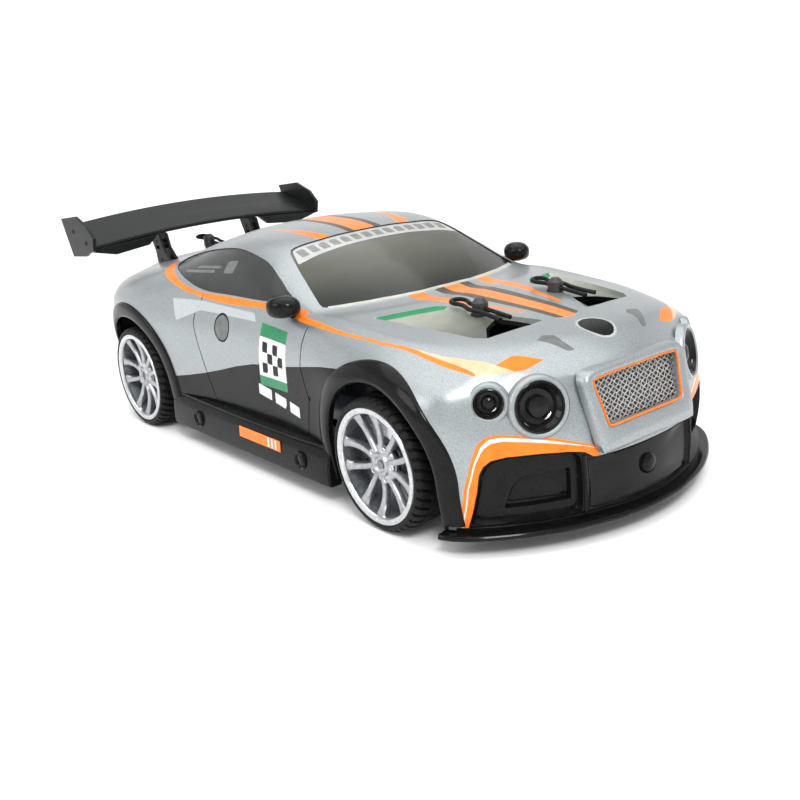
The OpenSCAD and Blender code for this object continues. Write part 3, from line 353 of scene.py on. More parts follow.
# ---------- the body skin: the same control net as the CAD model ----------
NET = [
    (-144.5, 0, -144.5, 47, (0, 49.5), (0, 50.5), (0, 51), (0, 51.5), 52, 1),
    (-143, 17, -144, 46, (16.5, 49), (16, 50.3), (14, 51), (7, 52.2), 52.7, 1),
    (-137.5, 34, -142, 44, (33, 47.5), (31, 50), (25, 52.2), (12, 54.2), 54.8, 1),
    (-128, 50, -137.5, 43, (48, 47.5), (44, 50.5), (34, 54.8), (17, 56.8), 57.2, 0.9),
    (-117, 61, -130, 43, (57.5, 49.5), (50, 53.5), (39, 57.8), (19.5, 59.5), 59.6, 0.5),
    (-103, 64, -118, 45, (59.5, 52.5), (51, 56.8), (41.5, 59.8), (21, 61.3), 61.4, 0.2),
    (-86, 64.5, -103, 47, (60, 55), (51.5, 59.8), (43, 61.3), (22, 63), 63, 0),
    (-66, 62.5, -86, 48, (58.5, 57), (51.5, 62), (44.5, 62.5), (23, 64.3), 64.3, 0),
    (-48, 60, -71.5, 49, (57, 59), (51, 63.6), (45.5, 63.8), (24, 65), 65.2, 0),
    (-33, 58.9, -57.5, 50, (56, 60), (50.8, 63.7), (46.2, 64.8), (25, 65.6), 65.9, 0),
    (-21.5, 58.4, -30, 50, (55.6, 60.6), (50.8, 67.5), (42.8, 72.8), (23.5, 75), 75.6, 0),
    (-9.5, 58.4, -8.5, 50, (55.5, 60.8), (50.4, 71.5), (38.2, 80.9), (21, 83.1), 83.6, 0),
    (8, 58.6, 12, 50, (55.7, 60.8), (50.6, 72), (39.5, 83.2), (22, 85.8), 86.3, 0),
    (30, 59.5, 35, 50, (56.3, 60.8), (51, 71.3), (40, 81.4), (22, 84.8), 85.7, 0),
    (52, 61.6, 61, 51, (58.4, 61.4), (51.8, 69.6), (38.6, 76.6), (21.3, 79.4), 80.3, 0),
    (76, 64.4, 95, 53, (61.2, 62.4), (52.8, 66.8), (37.6, 69.2), (20, 70.8), 71.4, 0),
    (97, 63.5, 116, 52, (60.5, 60.5), (52, 64.3), (36, 65.8), (19, 66.6), 67, 0),
    (112, 59, 127, 49, (56.5, 56), (48, 60.8), (32, 64.3), (16, 65.8), 66.2, 0),
    (124, 47, 134, 48, (45.5, 54), (38, 58.5), (25, 62.5), (12, 64.2), 64.5, 0),
    (132, 28, 137.5, 48, (27, 53), (23, 57), (15, 60.8), (7, 62.2), 62.5, 0),
    (139, 0, 139, 48, (0, 52.5), (0, 56), (0, 59), (0, 60.5), 61, 0),
]
HEM_Z, LEAN_Z, LEAN_K = 8, 28, 0.285
FLIP = np.array([-1.0, 1.0, 1.0])


def control_row(r):
    def bow(x):
        return r[2] + (r[0] - r[2]) * (x / r[1]) ** 2 if r[1] > 0 else r[0]
    pts = [(max(r[1] - 2.5, 0), r[0], HEM_Z), (max(r[1] - 0.8, 0), r[0], 20), (r[1], r[0], 34)]
    pts.append((r[1], r[0], r[3]))
    pts += [(x, bow(x), z) for x, z in r[4:8]] + [(0, bow(0), r[8])]
    return [(x, y + r[9] * LEAN_K * max(0, z - LEAN_Z), z) for x, y, z in pts]


ROWS = np.array([control_row(r) for r in NET])
PADDED = np.concatenate([ROWS[1:2] * FLIP, ROWS, ROWS[-2:-1] * FLIP])
LAST = len(NET) - 1


def skin(u, v):
    u, v = np.asarray(u, float), np.asarray(v, float)
    i = np.clip(np.floor(u), 0, LAST - 1).astype(int)
    row = catmull(PADDED[i], PADDED[i + 1], PADDED[i + 2], PADDED[i + 3], (u - i)[:, None, None])
    row = np.concatenate([2 * row[:, :1] - row[:, 1:2], row, row[:, 7:8] * FLIP], axis=1)
    k = np.clip(np.floor(v), 0, 7).astype(int)
    n = np.arange(len(u))
    return catmull(row[n, k], row[n, k + 1], row[n, k + 2], row[n, k + 3], (v - k)[:, None])


def skin_normals(u, v, at):
    e = 2e-3
    du = skin(np.minimum(u + e, LAST), v) - skin(np.maximum(u - e, 0), v)
    dv = skin(u, np.minimum(v + e, 8)) - skin(u, np.maximum(v - e, 0))
    n = np.cross(du, dv)
    n[at[:, 0] < 1e-6, 0] = 0
    n /= np.maximum(np.linalg.norm(n, axis=1), 1e-12)[:, None]
    inward = np.stack([0 * at[:, 0], np.clip(at[:, 1], -100, 100), 30 + 0 * at[:, 0]], 1) - at
    n[np.einsum("ij,ij->i", n, inward) > 0] *= -1
    return n


def on_skin(a, b, axes, keep):
    """Points and normals of the skin whose coordinates on the two axes are a and b, by Newton steps."""
    a, b = np.asarray(a, float), np.asarray(b, float)
    i, k = axes
    us, vs = [g.ravel() for g in np.meshgrid(np.linspace(0, LAST, 101), np.linspace(0, 8, 41), indexing="ij")]
    grid = skin(us, vs)
    kept = np.flatnonzero(keep(grid))
    near = kept[[np.argmin((grid[kept, i] - p) ** 2 + (grid[kept, k] - q) ** 2) for p, q in zip(a, b)]]
    u, v, e = us[near], vs[near], 1e-4
    for _ in range(15):
        at = skin(u, v)
        p_u = (skin(u + e, v) - at)[:, [i, k]] / e
        p_v = (skin(u, v + e) - at)[:, [i, k]] / e
        miss = np.stack([a, b], 1) - at[:, [i, k]]
        det = p_u[:, 0] * p_v[:, 1] - p_u[:, 1] * p_v[:, 0]
        det = np.where(np.abs(det) < 1e-3, 1e-3, det)
        du = (miss[:, 0] * p_v[:, 1] - miss[:, 1] * p_v[:, 0]) / det
        dv = (p_u[:, 0] * miss[:, 1] - p_u[:, 1] * miss[:, 0]) / det
        u = np.clip(u + np.clip(du, -0.3, 0.3), 0, LAST - 2 * e)
        v = np.clip(v + np.clip(dv, -0.3, 0.3), 0, 8 - 2 * e)
    at = skin(u, v)
    return at, skin_normals(u, v, at)


# ---------- fields: negative inside, in millimetres ----------
def outline_field(p, q, outline, closed=True):
    """Distance of points (p, q) from an outline: negative inside a closed one, else signed by side."""
    pts = np.stack([p, q], 1)
    o = np.array(outline, float)
    a, b = (o, np.roll(o, -1, 0)) if closed else (o[:-1], o[1:])
    best = np.full(len(pts), 1e9)
    side = np.zeros(len(pts))
    inside = np.zeros(len(pts), bool)
    for s, e in zip(a, b):
        d, w = e - s, pts - s
        h = np.clip(w @ d / (d @ d), 0, 1)
        dist = np.linalg.norm(w - h[:, None] * d, axis=1)
        nearer = dist < best
        best[nearer] = dist[nearer]
        side[nearer] = np.sign(d[0] * w[:, 1] - d[1] * w[:, 0])[nearer]
        cross = ((s[1] > pts[:, 1]) != (e[1] > pts[:, 1]))
        with np.errstate(divide="ignore", invalid="ignore"):
            cross &= pts[:, 0] < d[0] * (pts[:, 1] - s[1]) / d[1] + s[0]
        inside ^= cross
    return np.where(inside, -best, best) if closed else best * side


def projected(outline, curved, i, k, limit):
    """Field of an outline drawn on the plane of axes i and k. Short ones also list their sides' lines."""
    o = smooth_path(outline, 5, True) if curved else np.array(outline, float)

    def field(P):
        return np.maximum(outline_field(P[:, i], P[:, k], o), limit(P))
    if len(o) > 8:
        return field

    def side_line(a, b):
        n = np.array([b[1] - a[1], a[0] - b[0]]) / np.linalg.norm(b - a)
        return lambda P: np.where(field(P) < 2.5, (P[:, i] - a[0]) * n[0] + (P[:, k] - a[1]) * n[1], 6)
    field.sides = [side_line(a, b) for a, b in zip(o, np.roll(o, -1, 0))]
    return field


def top(outline, curved=False, z_min=50.0):
    return projected(outline, curved, 0, 1, lambda P: z_min - P[:, 2])


def side(outline, curved=False, x_min=38.0):
    return projected(outline, curved, 1, 2, lambda P: x_min - P[:, 0])


def front(outline, curved=False, y_max=-112.0):
    return projected(outline, curved, 0, 2, lambda P: P[:, 1] - y_max)


def rear(outline, curved=False, y_min=100.0):
    return projected(outline, curved, 0, 2, lambda P: y_min - P[:, 1])


def round_hole(axis_x, axis_y, r, z_min=50.0):
    return lambda P: np.maximum(np.hypot(P[:, 0] - axis_x, P[:, 1] - axis_y) - r, z_min - P[:, 2])


def roundel(y, z, r):
    return lambda P: np.maximum(np.hypot(P[:, 1] - y, P[:, 2] - z) - r, 38 - P[:, 0])


def wheel_ring(y, r):
    """The round wheel opening, open downwards."""
    def field(P):
        ring = np.hypot(P[:, 1] - y, P[:, 2] - AXLE_Z) - r
        below = np.maximum(np.abs(P[:, 1] - y) - r, P[:, 2] - AXLE_Z)
        return np.maximum(np.minimum(ring, below), 44 - P[:, 0])
    return field


def stroke(points, halves, keep):
    """Band along a line of (x, y) points laid on the skin, with its half width at each point."""
    pts = smooth_path([(x, y, h) for (x, y), h in zip(points, halves)], 6)
    line, _ = on_skin(pts[:, 0], pts[:, 1], (0, 1), keep)

    def field(P):
        best = np.full(len(P), 1e9)
        for a, b, h0, h1 in zip(line, line[1:], pts[:, 2], pts[1:, 2]):
            d = b - a
            t = np.clip((P - a) @ d / (d @ d), 0, 1)
            best = np.minimum(best, np.linalg.norm(P - a - t[:, None] * d, axis=1) - (h0 + t * (h1 - h0)))
        return best
    return field


LAMPS = [(36, -133.2, 44.2, 8.5, 24), (48, -124.1, 46.6, 5.2, 44)]


def lamp_matrix(p):
    turn = math.radians(p[4])
    place = Matrix.Translation(p[:3]) @ Matrix.Rotation(math.radians(90), 4, "X")
    return place @ Matrix.Rotation(turn, 4, "Y") @ Matrix.Rotation(math.radians(-9), 4, "X")


def lamp_field(p, r):
    m = np.array(lamp_matrix(p))
    origin, axis = m[:3, 3], m[:3, 2]

    def field(P):
        w = P - origin
        h = w @ axis
        return np.maximum(np.linalg.norm(w - h[:, None] * axis, axis=1) - r, np.abs(h) - 14)
    return field


class Skin:
    """Triangles over the left half of the body skin; cuts add exact edges along a field's zero line."""

    def __init__(self, per_u, per_v):
        us, vs = np.linspace(0, LAST, LAST * per_u + 1), np.linspace(0, 8, 8 * per_v + 1)
        self.u, self.v = [a.ravel() for a in np.meshgrid(us, vs, indexing="ij")]
        n = len(vs)
        i, k = [a.ravel() for a in np.meshgrid(np.arange(len(us) - 1), np.arange(n - 1), indexing="ij")]
        a, b, c, d = i * n + k, (i + 1) * n + k, (i + 1) * n + k + 1, i * n + k + 1
        odd = (i + k) % 2 == 1
        first = np.where(odd[:, None], np.stack([a, b, d], 1), np.stack([a, b, c], 1))
        second = np.where(odd[:, None], np.stack([b, c, d], 1), np.stack([a, c, d], 1))
        self.T = np.concatenate([first, second])
        self.tag = np.zeros(len(self.T), int)
        self.place()

    def place(self):
        self.P = skin(self.u, self.v)
        self.P[np.abs(self.P[:, 0]) < 1e-4, 0] = 0

    def cut(self, field):
        """Splits the triangles along the field's zero line and returns which of them are inside."""
        f = field(self.P)
        f[np.abs(f) < SNAP] = 0
        s = np.sign(f).astype(int)
        sT = s[self.T]
        mixed = (sT > 0).any(1) & (sT < 0).any(1)
        M, tags, S = self.T[mixed], self.tag[mixed], sT[mixed]
        zero = (S == 0).any(1)
        lone = np.where(zero, np.argmax(S == 0, 1), np.argmax(S == -np.sign(S.sum(1))[:, None], 1))
        roll = (lone[:, None] + np.arange(3)) % 3
        M = np.take_along_axis(M, roll, 1)
        pairs = np.concatenate([np.sort(M[zero][:, 1:], 1), np.sort(M[~zero][:, :2], 1),
                                np.sort(M[~zero][:, [0, 2]], 1)])
        if len(pairs):
            edges, where = np.unique(pairs, axis=0, return_inverse=True)
            where = where.ravel() + len(self.u)
            i, j = edges.T
            t = f[i] / (f[i] - f[j])
            self.u = np.append(self.u, self.u[i] + t * (self.u[j] - self.u[i]))
            self.v = np.append(self.v, self.v[i] + t * (self.v[j] - self.v[i]))
            f = np.append(f, np.zeros(len(edges)))
            nz, nm = zero.sum(), (~zero).sum()
            c, p, q = where[:nz], where[nz:nz + nm], where[nz + nm:]
            z, a, b = M[zero].T
            lo, a2, b2 = M[~zero].T
            new = [np.stack(t3, 1) for t3 in ([z, a, c], [z, c, b], [lo, p, q], [p, a2, b2], [p, b2, q])]
            new_tags = [tags[zero], tags[zero], tags[~zero], tags[~zero], tags[~zero]]
            self.T = np.concatenate([self.T[~mixed], *new])
            self.tag = np.concatenate([self.tag[~mixed], *new_tags])
            self.place()
        return f[self.T].sum(1) < 0

    def paint(self, field, tag, only=(0,)):
        """Gives tag to the triangles inside the field, among those that have one of the tags in only."""
        for line in getattr(field, "sides", ()):
            self.cut(line)
        inside = self.cut(field) & np.isin(self.tag, only)
        self.tag[inside] = tag


def half_solid(P, N, T, looks, outer, inner, wall_look=0, inner_look=0, own=None):
    """Closed solid between two depths under the skin, mirrored to both halves.
    outer and inner are depths along the inward normal, one number or one per vertex. own says how a face is
    shaded: 0 by the skin's normals, 1 by the mean of its neighbours, 2 flat.
    Returns vertices, faces, materials and corner normals."""
    used, T = np.unique(T, return_inverse=True)
    T = T.reshape(-1, 3)
    P, N = P[used], N[used]
    outer, inner = [np.broadcast_to(d, (len(used),)) if np.ndim(d) == 0 else d[used] for d in (outer, inner)]
    O, I = P - N * outer[:, None], P - N * inner[:, None]
    # seam: vertices on the centre plane are shared by both halves
    e = np.concatenate([T[:, [0, 1]], T[:, [1, 2]], T[:, [2, 0]]])
    key = np.sort(e, 1)
    _, first, count = np.unique(key, axis=0, return_index=True, return_counts=True)
    rim = e[first[count == 1]]
    on_seam = P[:, 0] < 1e-6
    rim = rim[~(on_seam[rim[:, 0]] & on_seam[rim[:, 1]])]
    n = len(used)
    face_n = np.cross(O[T[:, 1]] - O[T[:, 0]], O[T[:, 2]] - O[T[:, 0]])
    turn = np.einsum("ij,ij->i", face_n, N[T[:, 0]]) < 0
    T = np.where(turn[:, None], T[:, ::-1], T)
    e2 = {tuple(x) for x in np.concatenate([T[:, [0, 1]], T[:, [1, 2]], T[:, [2, 0]]]).tolist()}
    rim = np.array([(a, b) if (a, b) in e2 else (b, a) for a, b in rim.tolist()]).reshape(-1, 2)
    verts = np.concatenate([O, I])
    faces = [*T.tolist(), *(T[:, ::-1] + n).tolist()]
    a, b = rim.T
    faces += np.stack([b, a, a + n, b + n], 1).tolist()
    look = list(looks) + [inner_look] * len(T) + [wall_look] * len(rim)
    smooth_n = np.concatenate([N, -N])
    own = np.zeros(len(T), int) if own is None else own
    fn = np.cross(O[T[:, 1]] - O[T[:, 0]], O[T[:, 2]] - O[T[:, 0]])
    avg = np.zeros((n, 3))
    for k in range(3):
        np.add.at(avg, T[own == 1, k], fn[own == 1])
    avg /= np.maximum(np.linalg.norm(avg, axis=1), 1e-12)[:, None]
    seam_n = avg.copy()
    seam_n[on_seam, 0] = 0
    seam_n /= np.maximum(np.linalg.norm(seam_n, axis=1), 1e-12)[:, None]
    unit_fn = fn / np.maximum(np.linalg.norm(fn, axis=1), 1e-12)[:, None]
    normals = []
    for t, o, f in zip(T, own, unit_fn):
        normals += [smooth_n[i] if o == 0 else seam_n[i] if o == 1 else f for i in t]
    for t in T[:, ::-1]:
        normals += [smooth_n[i + n] for i in t]
    for a_, b_, c_, d_ in faces[2 * len(T):]:
        w = np.cross(verts[b_] - verts[a_], verts[d_] - verts[a_])
        w /= max(np.linalg.norm(w), 1e-12)
        normals += [w] * 4
    shared = np.concatenate([on_seam, on_seam])
    other = np.arange(2 * n)
    other[~shared] = 2 * n + np.arange((~shared).sum())
    verts = np.concatenate([verts, verts[~shared] * FLIP])
    mirrored, at = [], 0
    normals = np.array(normals)
    more = []
    for f in faces:
        mirrored.append([int(other[i]) for i in reversed(f)])
        more.append(normals[at:at + len(f)][::-1] * FLIP)
        at += len(f)
    return verts, faces + mirrored, look + look, np.concatenate([normals, *more])


def skin_piece(name, solid, looks, body, stands_for=()):
    verts, faces, mats, normals = solid
    mesh = bpy.data.meshes.new(name)
    mesh.from_pydata((verts * MM).tolist(), [], faces)
    for m in looks:
        mesh.materials.append(m)
    mesh.polygons.foreach_set("material_index", mats)
    mesh.polygons.foreach_set("use_smooth", [True] * len(faces))
    mesh.update()
    mesh.normals_split_custom_set(normals)
    return place_piece(name, mesh, body, stands_for)


# ---------- outlines ----------
SIDE_WINDOW = [
    (69, 72.4), (63.5, 74.8), (47, 78.1), (36, 79.8), (25.5, 80.9), (15.8, 81.2), (4.7, 80), (-6.3, 77.6),
    (-15.9, 73.6), (-22.5, 70.2), (-28.5, 66.6), (-9.7, 66.1), (10.3, 65.9), (25.4, 65.7), (34.9, 66.4),
    (44.2, 68.1), (53.4, 69.8), (61.9, 71)]
WINDSCREEN = [
    (-9, -56.6), (0, -56.6), (12, -56), (22, -53.8), (32, -50.2), (41, -45.6), (45.5, -42.2), (46.3, -40),
    (43.4, -29), (40.2, -17.2), (37.6, -9.6), (36, -8.6), (28, -8), (14, -7.3), (0, -7), (-9, -7)]
REAR_WINDOW = [(-9, 52), (0, 52), (18, 52.5), (31, 56), (35, 66), (33, 82), (27, 93), (0, 96), (-9, 96)]
GRILLE_HOLE = [(-5, 35.6), (17.5, 35.6), (19.2, 43), (20.2, 48.6), (18.6, 50), (-5, 50)]
SIDE_INTAKE = [
    (55.7, 9.7), (54.9, 18), (53.6, 26), (52.6, 28.2), (50.6, 29.8), (46.9, 30.5), (38, 30.2), (30, 29.4),
    (27.2, 28.8), (26.5, 27.6), (26.5, 9.7)]
RECESS = [
    (47.6, 13.4), (46.6, 17), (45.6, 20.4), (44, 22.4), (41, 23.3), (36, 23.7), (29, 23.9), (29, 18),
    (29, 13.4)]
CENTRE_INTAKE = [(-5, 9.7), (24.3, 9.7), (24.3, 26), (-5, 26)]
BLACK_FRONT = [
    (-5, -2), (56.6, -2), (55.9, 9.7), (53.8, 26), (52.7, 28.5), (50.7, 30.2), (46.9, 30.9), (38, 30.6),
    (30, 29.7), (25, 28.6), (22, 26.4), (-5, 26.4)]

HOOD_OLIVE = [(-5, -56.4), (8.2, -56.4), (7.7, -76), (5.3, -113), (-5, -113)]
HOOD_ORANGE = [(-5, -56.4), (3.8, -56.4), (3.6, -76), (2.6, -114), (-5, -114)]
HOOD_STRIPE = [
    (19.4, -54.5), (16.9, -78), (13.3, -87), (10, -101), (8, -101), (11, -87), (12.6, -78), (13, -54.5)]
ROOF_OLIVE = [(-5, -7), (8.2, -7), (8.2, 34), (-5, 34)]
ROOF_ORANGE = [(-5, -7), (5, -7), (5, 32), (-5, 32)]
ROOF_STRIPE = [
    (21.6, -8), (22.9, -5.5), (24.2, -1.7), (24.7, 8), (25.6, 20), (26, 31), (24.6, 22), (22.9, 12),
    (21, 5.6), (19.5, 0.8), (17.9, -3.7), (16.6, -7.6)]
HOOD_VENT = [
    (42.6, -64), (21, -74.5), (17.1, -97.5), (10.2, -111.3), (16.7, -111.6), (23.9, -110.8), (33, -109.6),
    (35.8, -106.1), (39.2, -87), (40.4, -73.7)]
VENT_GREEN = [(42.6, -64), (21, -74.5), (20.4, -77.4), (40.8, -67.2)]
VENT_HOLE = [(17.9, -97.8), (13.2, -110.9), (23.6, -110.2), (32.6, -108.8), (26.5, -102)]
SCOOP_MARK = [
    (23.9, -121.2), (20.1, -119.9), (17.2, -122), (17.6, -126), (16, -129.6), (18.4, -129.2), (21.6, -125.2)]
FENDER_LINE = [(53.0, -36.2), (53.8, -45), (54.5, -56), (54.4, -67), (53.7, -77), (53.0, -85.4), (51.8, -93),
               (51.0, -102.8), (49.7, -111.2), (47.8, -118.4)]
FENDER_HALF = [1.5, 1.2, 0.85, 0.65, 0.6, 0.7, 0.8, 0.9, 1.0, 0.5]
FENDER_FADE = [(52.5, -84.7), (50.7, -95.9), (48.5, -105.9), (45.2, -114.4), (41.2, -121.7), (35.6, -126.4),
               (42.5, -122.8), (47.4, -119.5), (50.2, -111.6), (51.3, -103.2), (52.3, -93.4)]
FENDER_BLOCK = [(34.9, -122.3), (27.4, -127.6), (34.4, -126.8), (37.5, -125.3), (41.6, -121.3)]
BELT_LINE = [
    (79, 71.9), (77.9, 71.7), (66.7, 70.8), (57, 69.1), (48.1, 67), (37.5, 65.4), (28.2, 64.9),
    (10.2, 65.3), (-11.1, 65.6), (-24, 65.8), (-38, 64.6), (-38, 62), (-24, 63), (-11.3, 63.5),
    (-2.3, 63.1), (9.1, 62.6), (21.2, 62.6), (33.6, 63.4), (44.6, 64.5), (53.5, 66.3), (63, 67.9),
    (74.4, 69.4), (80, 70.4)]
LOWER_BLACK = [
    (60, -2), (60, 27), (52.6, 28.4), (43, 30.1), (30.6, 32.8), (17.8, 36), (4.7, 39.6), (-7.9, 42.5),
    (-22.6, 44.6), (-31.3, 45.4), (-42.9, 47.4), (-57.3, 50.1), (-70.1, 51.7), (-81.7, 52.2), (-92, 51.4),
    (-101.9, 49.9), (-110, 45.9), (-113.7, 39.8), (-115.5, 32.5), (-116.6, 24.9), (-116.7, 18.4),
    (-115.5, 10.3), (-115, -2)]
NUMBER_PLATE = [(-15.4, 58.9), (-33.4, 57.8), (-31.5, 35.7), (-12.3, 35.5)]
DOOR_FRONT = [(-44.4, 60.9), (-43.4, 54), (-42.9, 47.4), (-46.5, 36.2), (-42, 21.5)]
DOOR_REAR = [(30.4, 64.2), (30.5, 61.4), (33.3, 57.3), (33.8, 53.5), (27.7, 32.8), (23.9, 22.3)]
PALE_PANEL = [(50.5, 61.3), (31.7, 61.9), (-8.9, 61.4), (-10.7, 58.6), (29.7, 58.4), (45.9, 53)]
EYE_OUTER = [(58, 10.6), (57.2, 21.8), (55.4, 29.9), (53.5, 35.2), (51, 37.5), (46.8, 37.6), (39.9, 36.2),
             (34.6, 34.9), (29.6, 33), (23.6, 30.8), (20.1, 29)]
EYE_OUTER_IN = [
    (57.2, 10.6), (56.5, 21.8), (54.7, 29.6), (52.6, 34.6), (50.4, 36.6), (46.9, 36.8), (40.1, 35.4),
    (34.8, 34), (29.6, 32.2), (23.8, 30.2), (20.1, 28.6)]
EYE_INNER = [(56.9, 10.6), (56.2, 21.8), (54.3, 29.4), (52.4, 33.6), (50.3, 35.3), (47.2, 35.7), (40.2, 34.4),
             (35, 33.2), (29.6, 31.8), (24, 30.1), (20.1, 28.5)]
BLACK_REAR = [(-5, -2), (62, -2), (62, 18), (54, 21), (46, 27), (30, 29.5), (22, 27), (-5, 27)]
REAR_PLATE = [(-5, 32), (15, 32), (15, 42), (-5, 42)]
TAIL_LAMP = [(40, 49.5), (33, 48.6), (28, 50.6), (27.6, 54.2), (31, 56.4), (38, 56), (43, 53.6)]

BANNER = [
    (-9, -7.6), (0, -7.6), (14, -7.9), (28, -8.6), (35.8, -9.3), (37.1, -11.4), (39.3, -17.9), (37, -17.6),
    (28, -16.6), (14, -15.8), (-9, -15.5)]
SCREEN_BASE = [
    (-9, -56.6), (0, -56.6), (12, -56), (22, -53.8), (32, -50.2), (41, -45.6), (45.5, -42.2), (44.8, -40.8),
    (40.2, -43.6), (31.2, -48.2), (21.4, -51.6), (11.8, -53.8), (0, -54.4), (-9, -54.4)]
# tags of the triangles: a number in PAINTS, REMOVED for holes, or one of the glass tags
REMOVED = -1
SIDE_GLASS, SCREEN, BACK_GLASS, STRIP, STRIP_MARK, GLASS_MARK, BASE_EDGE = range(21, 28)
PAINTS = [
    silver, orange, pale_orange, white, olive, green, grey, cream, black_paint, gloss_black, groove_black,
    tail_red, bare_inside, mist]
(SILVER, ORANGE, PALE_ORANGE, WHITE, OLIVE, GREEN, GREY, CREAM, BLACK, GLOSS, GROOVE, RED, INSIDE,
 MIST) = range(len(PAINTS))


def bar(x0, y0, x1, y1, half):
    """Rectangle round the line from (x0, y0) to (x1, y1)."""
    d = np.array([x1 - x0, y1 - y0])
    n = np.array([-d[1], d[0]]) / np.linalg.norm(d) * half
    a, b = np.array([x0, y0]), np.array([x1, y1])
    return [tuple(a + n), tuple(b + n), tuple(b - n), tuple(a - n)]


def build_skin():
    s = Skin(9, 8)
    for y in (FRONT_Y, REAR_Y):
        s.paint(wheel_ring(y, ARCH_R), REMOVED)
    s.paint(side(SIDE_WINDOW, True), SIDE_GLASS)
    s.paint(top(WINDSCREEN, z_min=58), SCREEN)
    s.paint(top(REAR_WINDOW, z_min=58), BACK_GLASS)
    s.paint(front(GRILLE_HOLE, y_max=-120), REMOVED)
    for p in LAMPS:
        s.paint(lamp_field(p, p[3] - 0.2), REMOVED)
    s.paint(front(SIDE_INTAKE), REMOVED)
    s.paint(front(CENTRE_INTAKE, y_max=-130), REMOVED)
    s.paint(round_hole(18, -90.6, 3.3), REMOVED)
    s.paint(round_hole(0, 123, 3.3), REMOVED)
    s.paint(top(VENT_HOLE), REMOVED)
    # livery, the front of the car first
    s.paint(front(BLACK_FRONT, y_max=-100), GLOSS)
    s.paint(front(EYE_OUTER + [(20.1, 0), (58.5, 0)], y_max=-100), ORANGE)
    s.paint(front(EYE_OUTER_IN + [(20.1, 0), (57.6, 0)], y_max=-100), WHITE, (ORANGE,))
    s.paint(front(EYE_INNER + [(20.1, 0), (57, 0)], y_max=-100), ORANGE, (WHITE,))
    s.paint(top(HOOD_OLIVE), OLIVE)
    s.paint(top(HOOD_ORANGE), ORANGE, (SILVER, OLIVE))
    s.paint(top(HOOD_STRIPE), ORANGE)
    s.paint(top(ROOF_OLIVE, z_min=58), OLIVE)
    s.paint(top(ROOF_ORANGE, z_min=58), ORANGE, (SILVER, OLIVE))
    s.paint(top(ROOF_STRIPE, z_min=58), ORANGE)
    s.paint(top(HOOD_VENT), CREAM, (SILVER, ORANGE))
    s.paint(top(VENT_GREEN), GREEN, (CREAM,))
    s.paint(top(SCOOP_MARK), GREY)
    s.paint(round_hole(0, -124, 6.4), MIST, (SILVER, OLIVE, ORANGE))
    s.paint(round_hole(0, -124, 5.6), BLACK, (MIST,))
    s.paint(top(FENDER_FADE), PALE_ORANGE)
    s.paint(stroke(FENDER_LINE, FENDER_HALF, lambda P: P[:, 2] > 50), ORANGE, (SILVER, PALE_ORANGE))
    s.paint(top(FENDER_BLOCK), ORANGE, (SILVER, PALE_ORANGE))
    s.paint(side(LOWER_BLACK), BLACK)
    s.paint(side(BELT_LINE), ORANGE)
    s.paint(side(PALE_PANEL), MIST)
    # race plate with plain checks, three plain bars and a plain roundel
    s.paint(side(NUMBER_PLATE), WHITE, (SILVER, BLACK, MIST))
    (ax, az), (bx, bz), (cx, cz), (dx, dz) = NUMBER_PLATE

    def on_plate(a, b):
        """Point of the plate at a across from its rear edge and b down from its top."""
        t = np.array([ax + (bx - ax) * a, az + (bz - az) * a])
        u = np.array([dx + (cx - dx) * a, dz + (cz - dz) * a])
        return tuple(t + (u - t) * b)

    def plate_patch(a0, a1, b0, b1):
        return [on_plate(a0, b0), on_plate(a1, b0), on_plate(a1, b1), on_plate(a0, b1)]
    s.paint(side(plate_patch(-0.02, 1.02, -0.02, 0.2)), GREEN, (WHITE,))
    s.paint(side(plate_patch(-0.02, 1.02, 0.84, 1.02)), GREEN, (WHITE,))
    for i in range(4):
        for k in range(3):
            if (i + k) % 2 == 0:
                square = plate_patch(0.12 + i * 0.19, 0.12 + (i + 1) * 0.19,
                                     0.27 + k * 0.17, 0.27 + (k + 1) * 0.17)
                s.paint(side(square), BLACK, (WHITE,))
    for x0, x1 in ((-10.5, -19), (-21.5, -29), (-31.5, -38)):
        z0, z1 = 31.4 + 0.15 * (x0 + 25), 31.4 + 0.15 * (x1 + 25)
        s.paint(side(bar(x0, z0, x1, z1, 2.1)), WHITE, (BLACK,))
    s.paint(roundel(12.8, 53.6, 5.6), BLACK, (SILVER, MIST))
    s.paint(roundel(12.8, 53.6, 4.8), GREY, (BLACK,))
    s.paint(rear(BLACK_REAR), BLACK)
    s.paint(rear(REAR_PLATE), GREY)
    s.paint(rear(bar(-5, 56.6, 26, 55.4, 0.35)), GROOVE)
    s.paint(rear(TAIL_LAMP, True), RED)
    # plain banner across the screen and plain marks on the side glass
    s.paint(top(SCREEN_BASE, z_min=58), BASE_EDGE, (SCREEN,))
    s.paint(top(BANNER, z_min=58), STRIP, (SCREEN,))
    for i in range(7):
        x0 = 0.9 + i * 5.2
        back, ahead = -9.3 - 0.0012 * x0 ** 2, -14.0 - 0.0012 * x0 ** 2
        block = [(x0, back), (x0 + 3.6, back), (x0 + 3.6, ahead), (x0, ahead)]
        s.paint(top(block, z_min=58), STRIP_MARK, (STRIP,))
    for mark in ([(24, 74.2), (48, 72.6), (48, 73.4), (24, 75.2)],
                 [(28, 72.4), (52, 70.8), (52, 71.6), (28, 73.4)],
                 [(14, 73.2), (21, 72.8), (21, 77), (14, 77.6)]):
        s.paint(side(mark), GLASS_MARK, (SIDE_GLASS,))
    return s


def cut_groove(s, path):
    """Adds edges along and beside a shut line, and returns the signed distance from it."""
    def signed(P):
        d = outline_field(P[:, 1], P[:, 2], path, closed=False)
        return np.where((np.abs(d) < 6) & (P[:, 0] > 40), d, 6)
    s.cut(signed)
    s.cut(lambda P: np.abs(signed(P)) - GROOVE_HALF)
    return signed


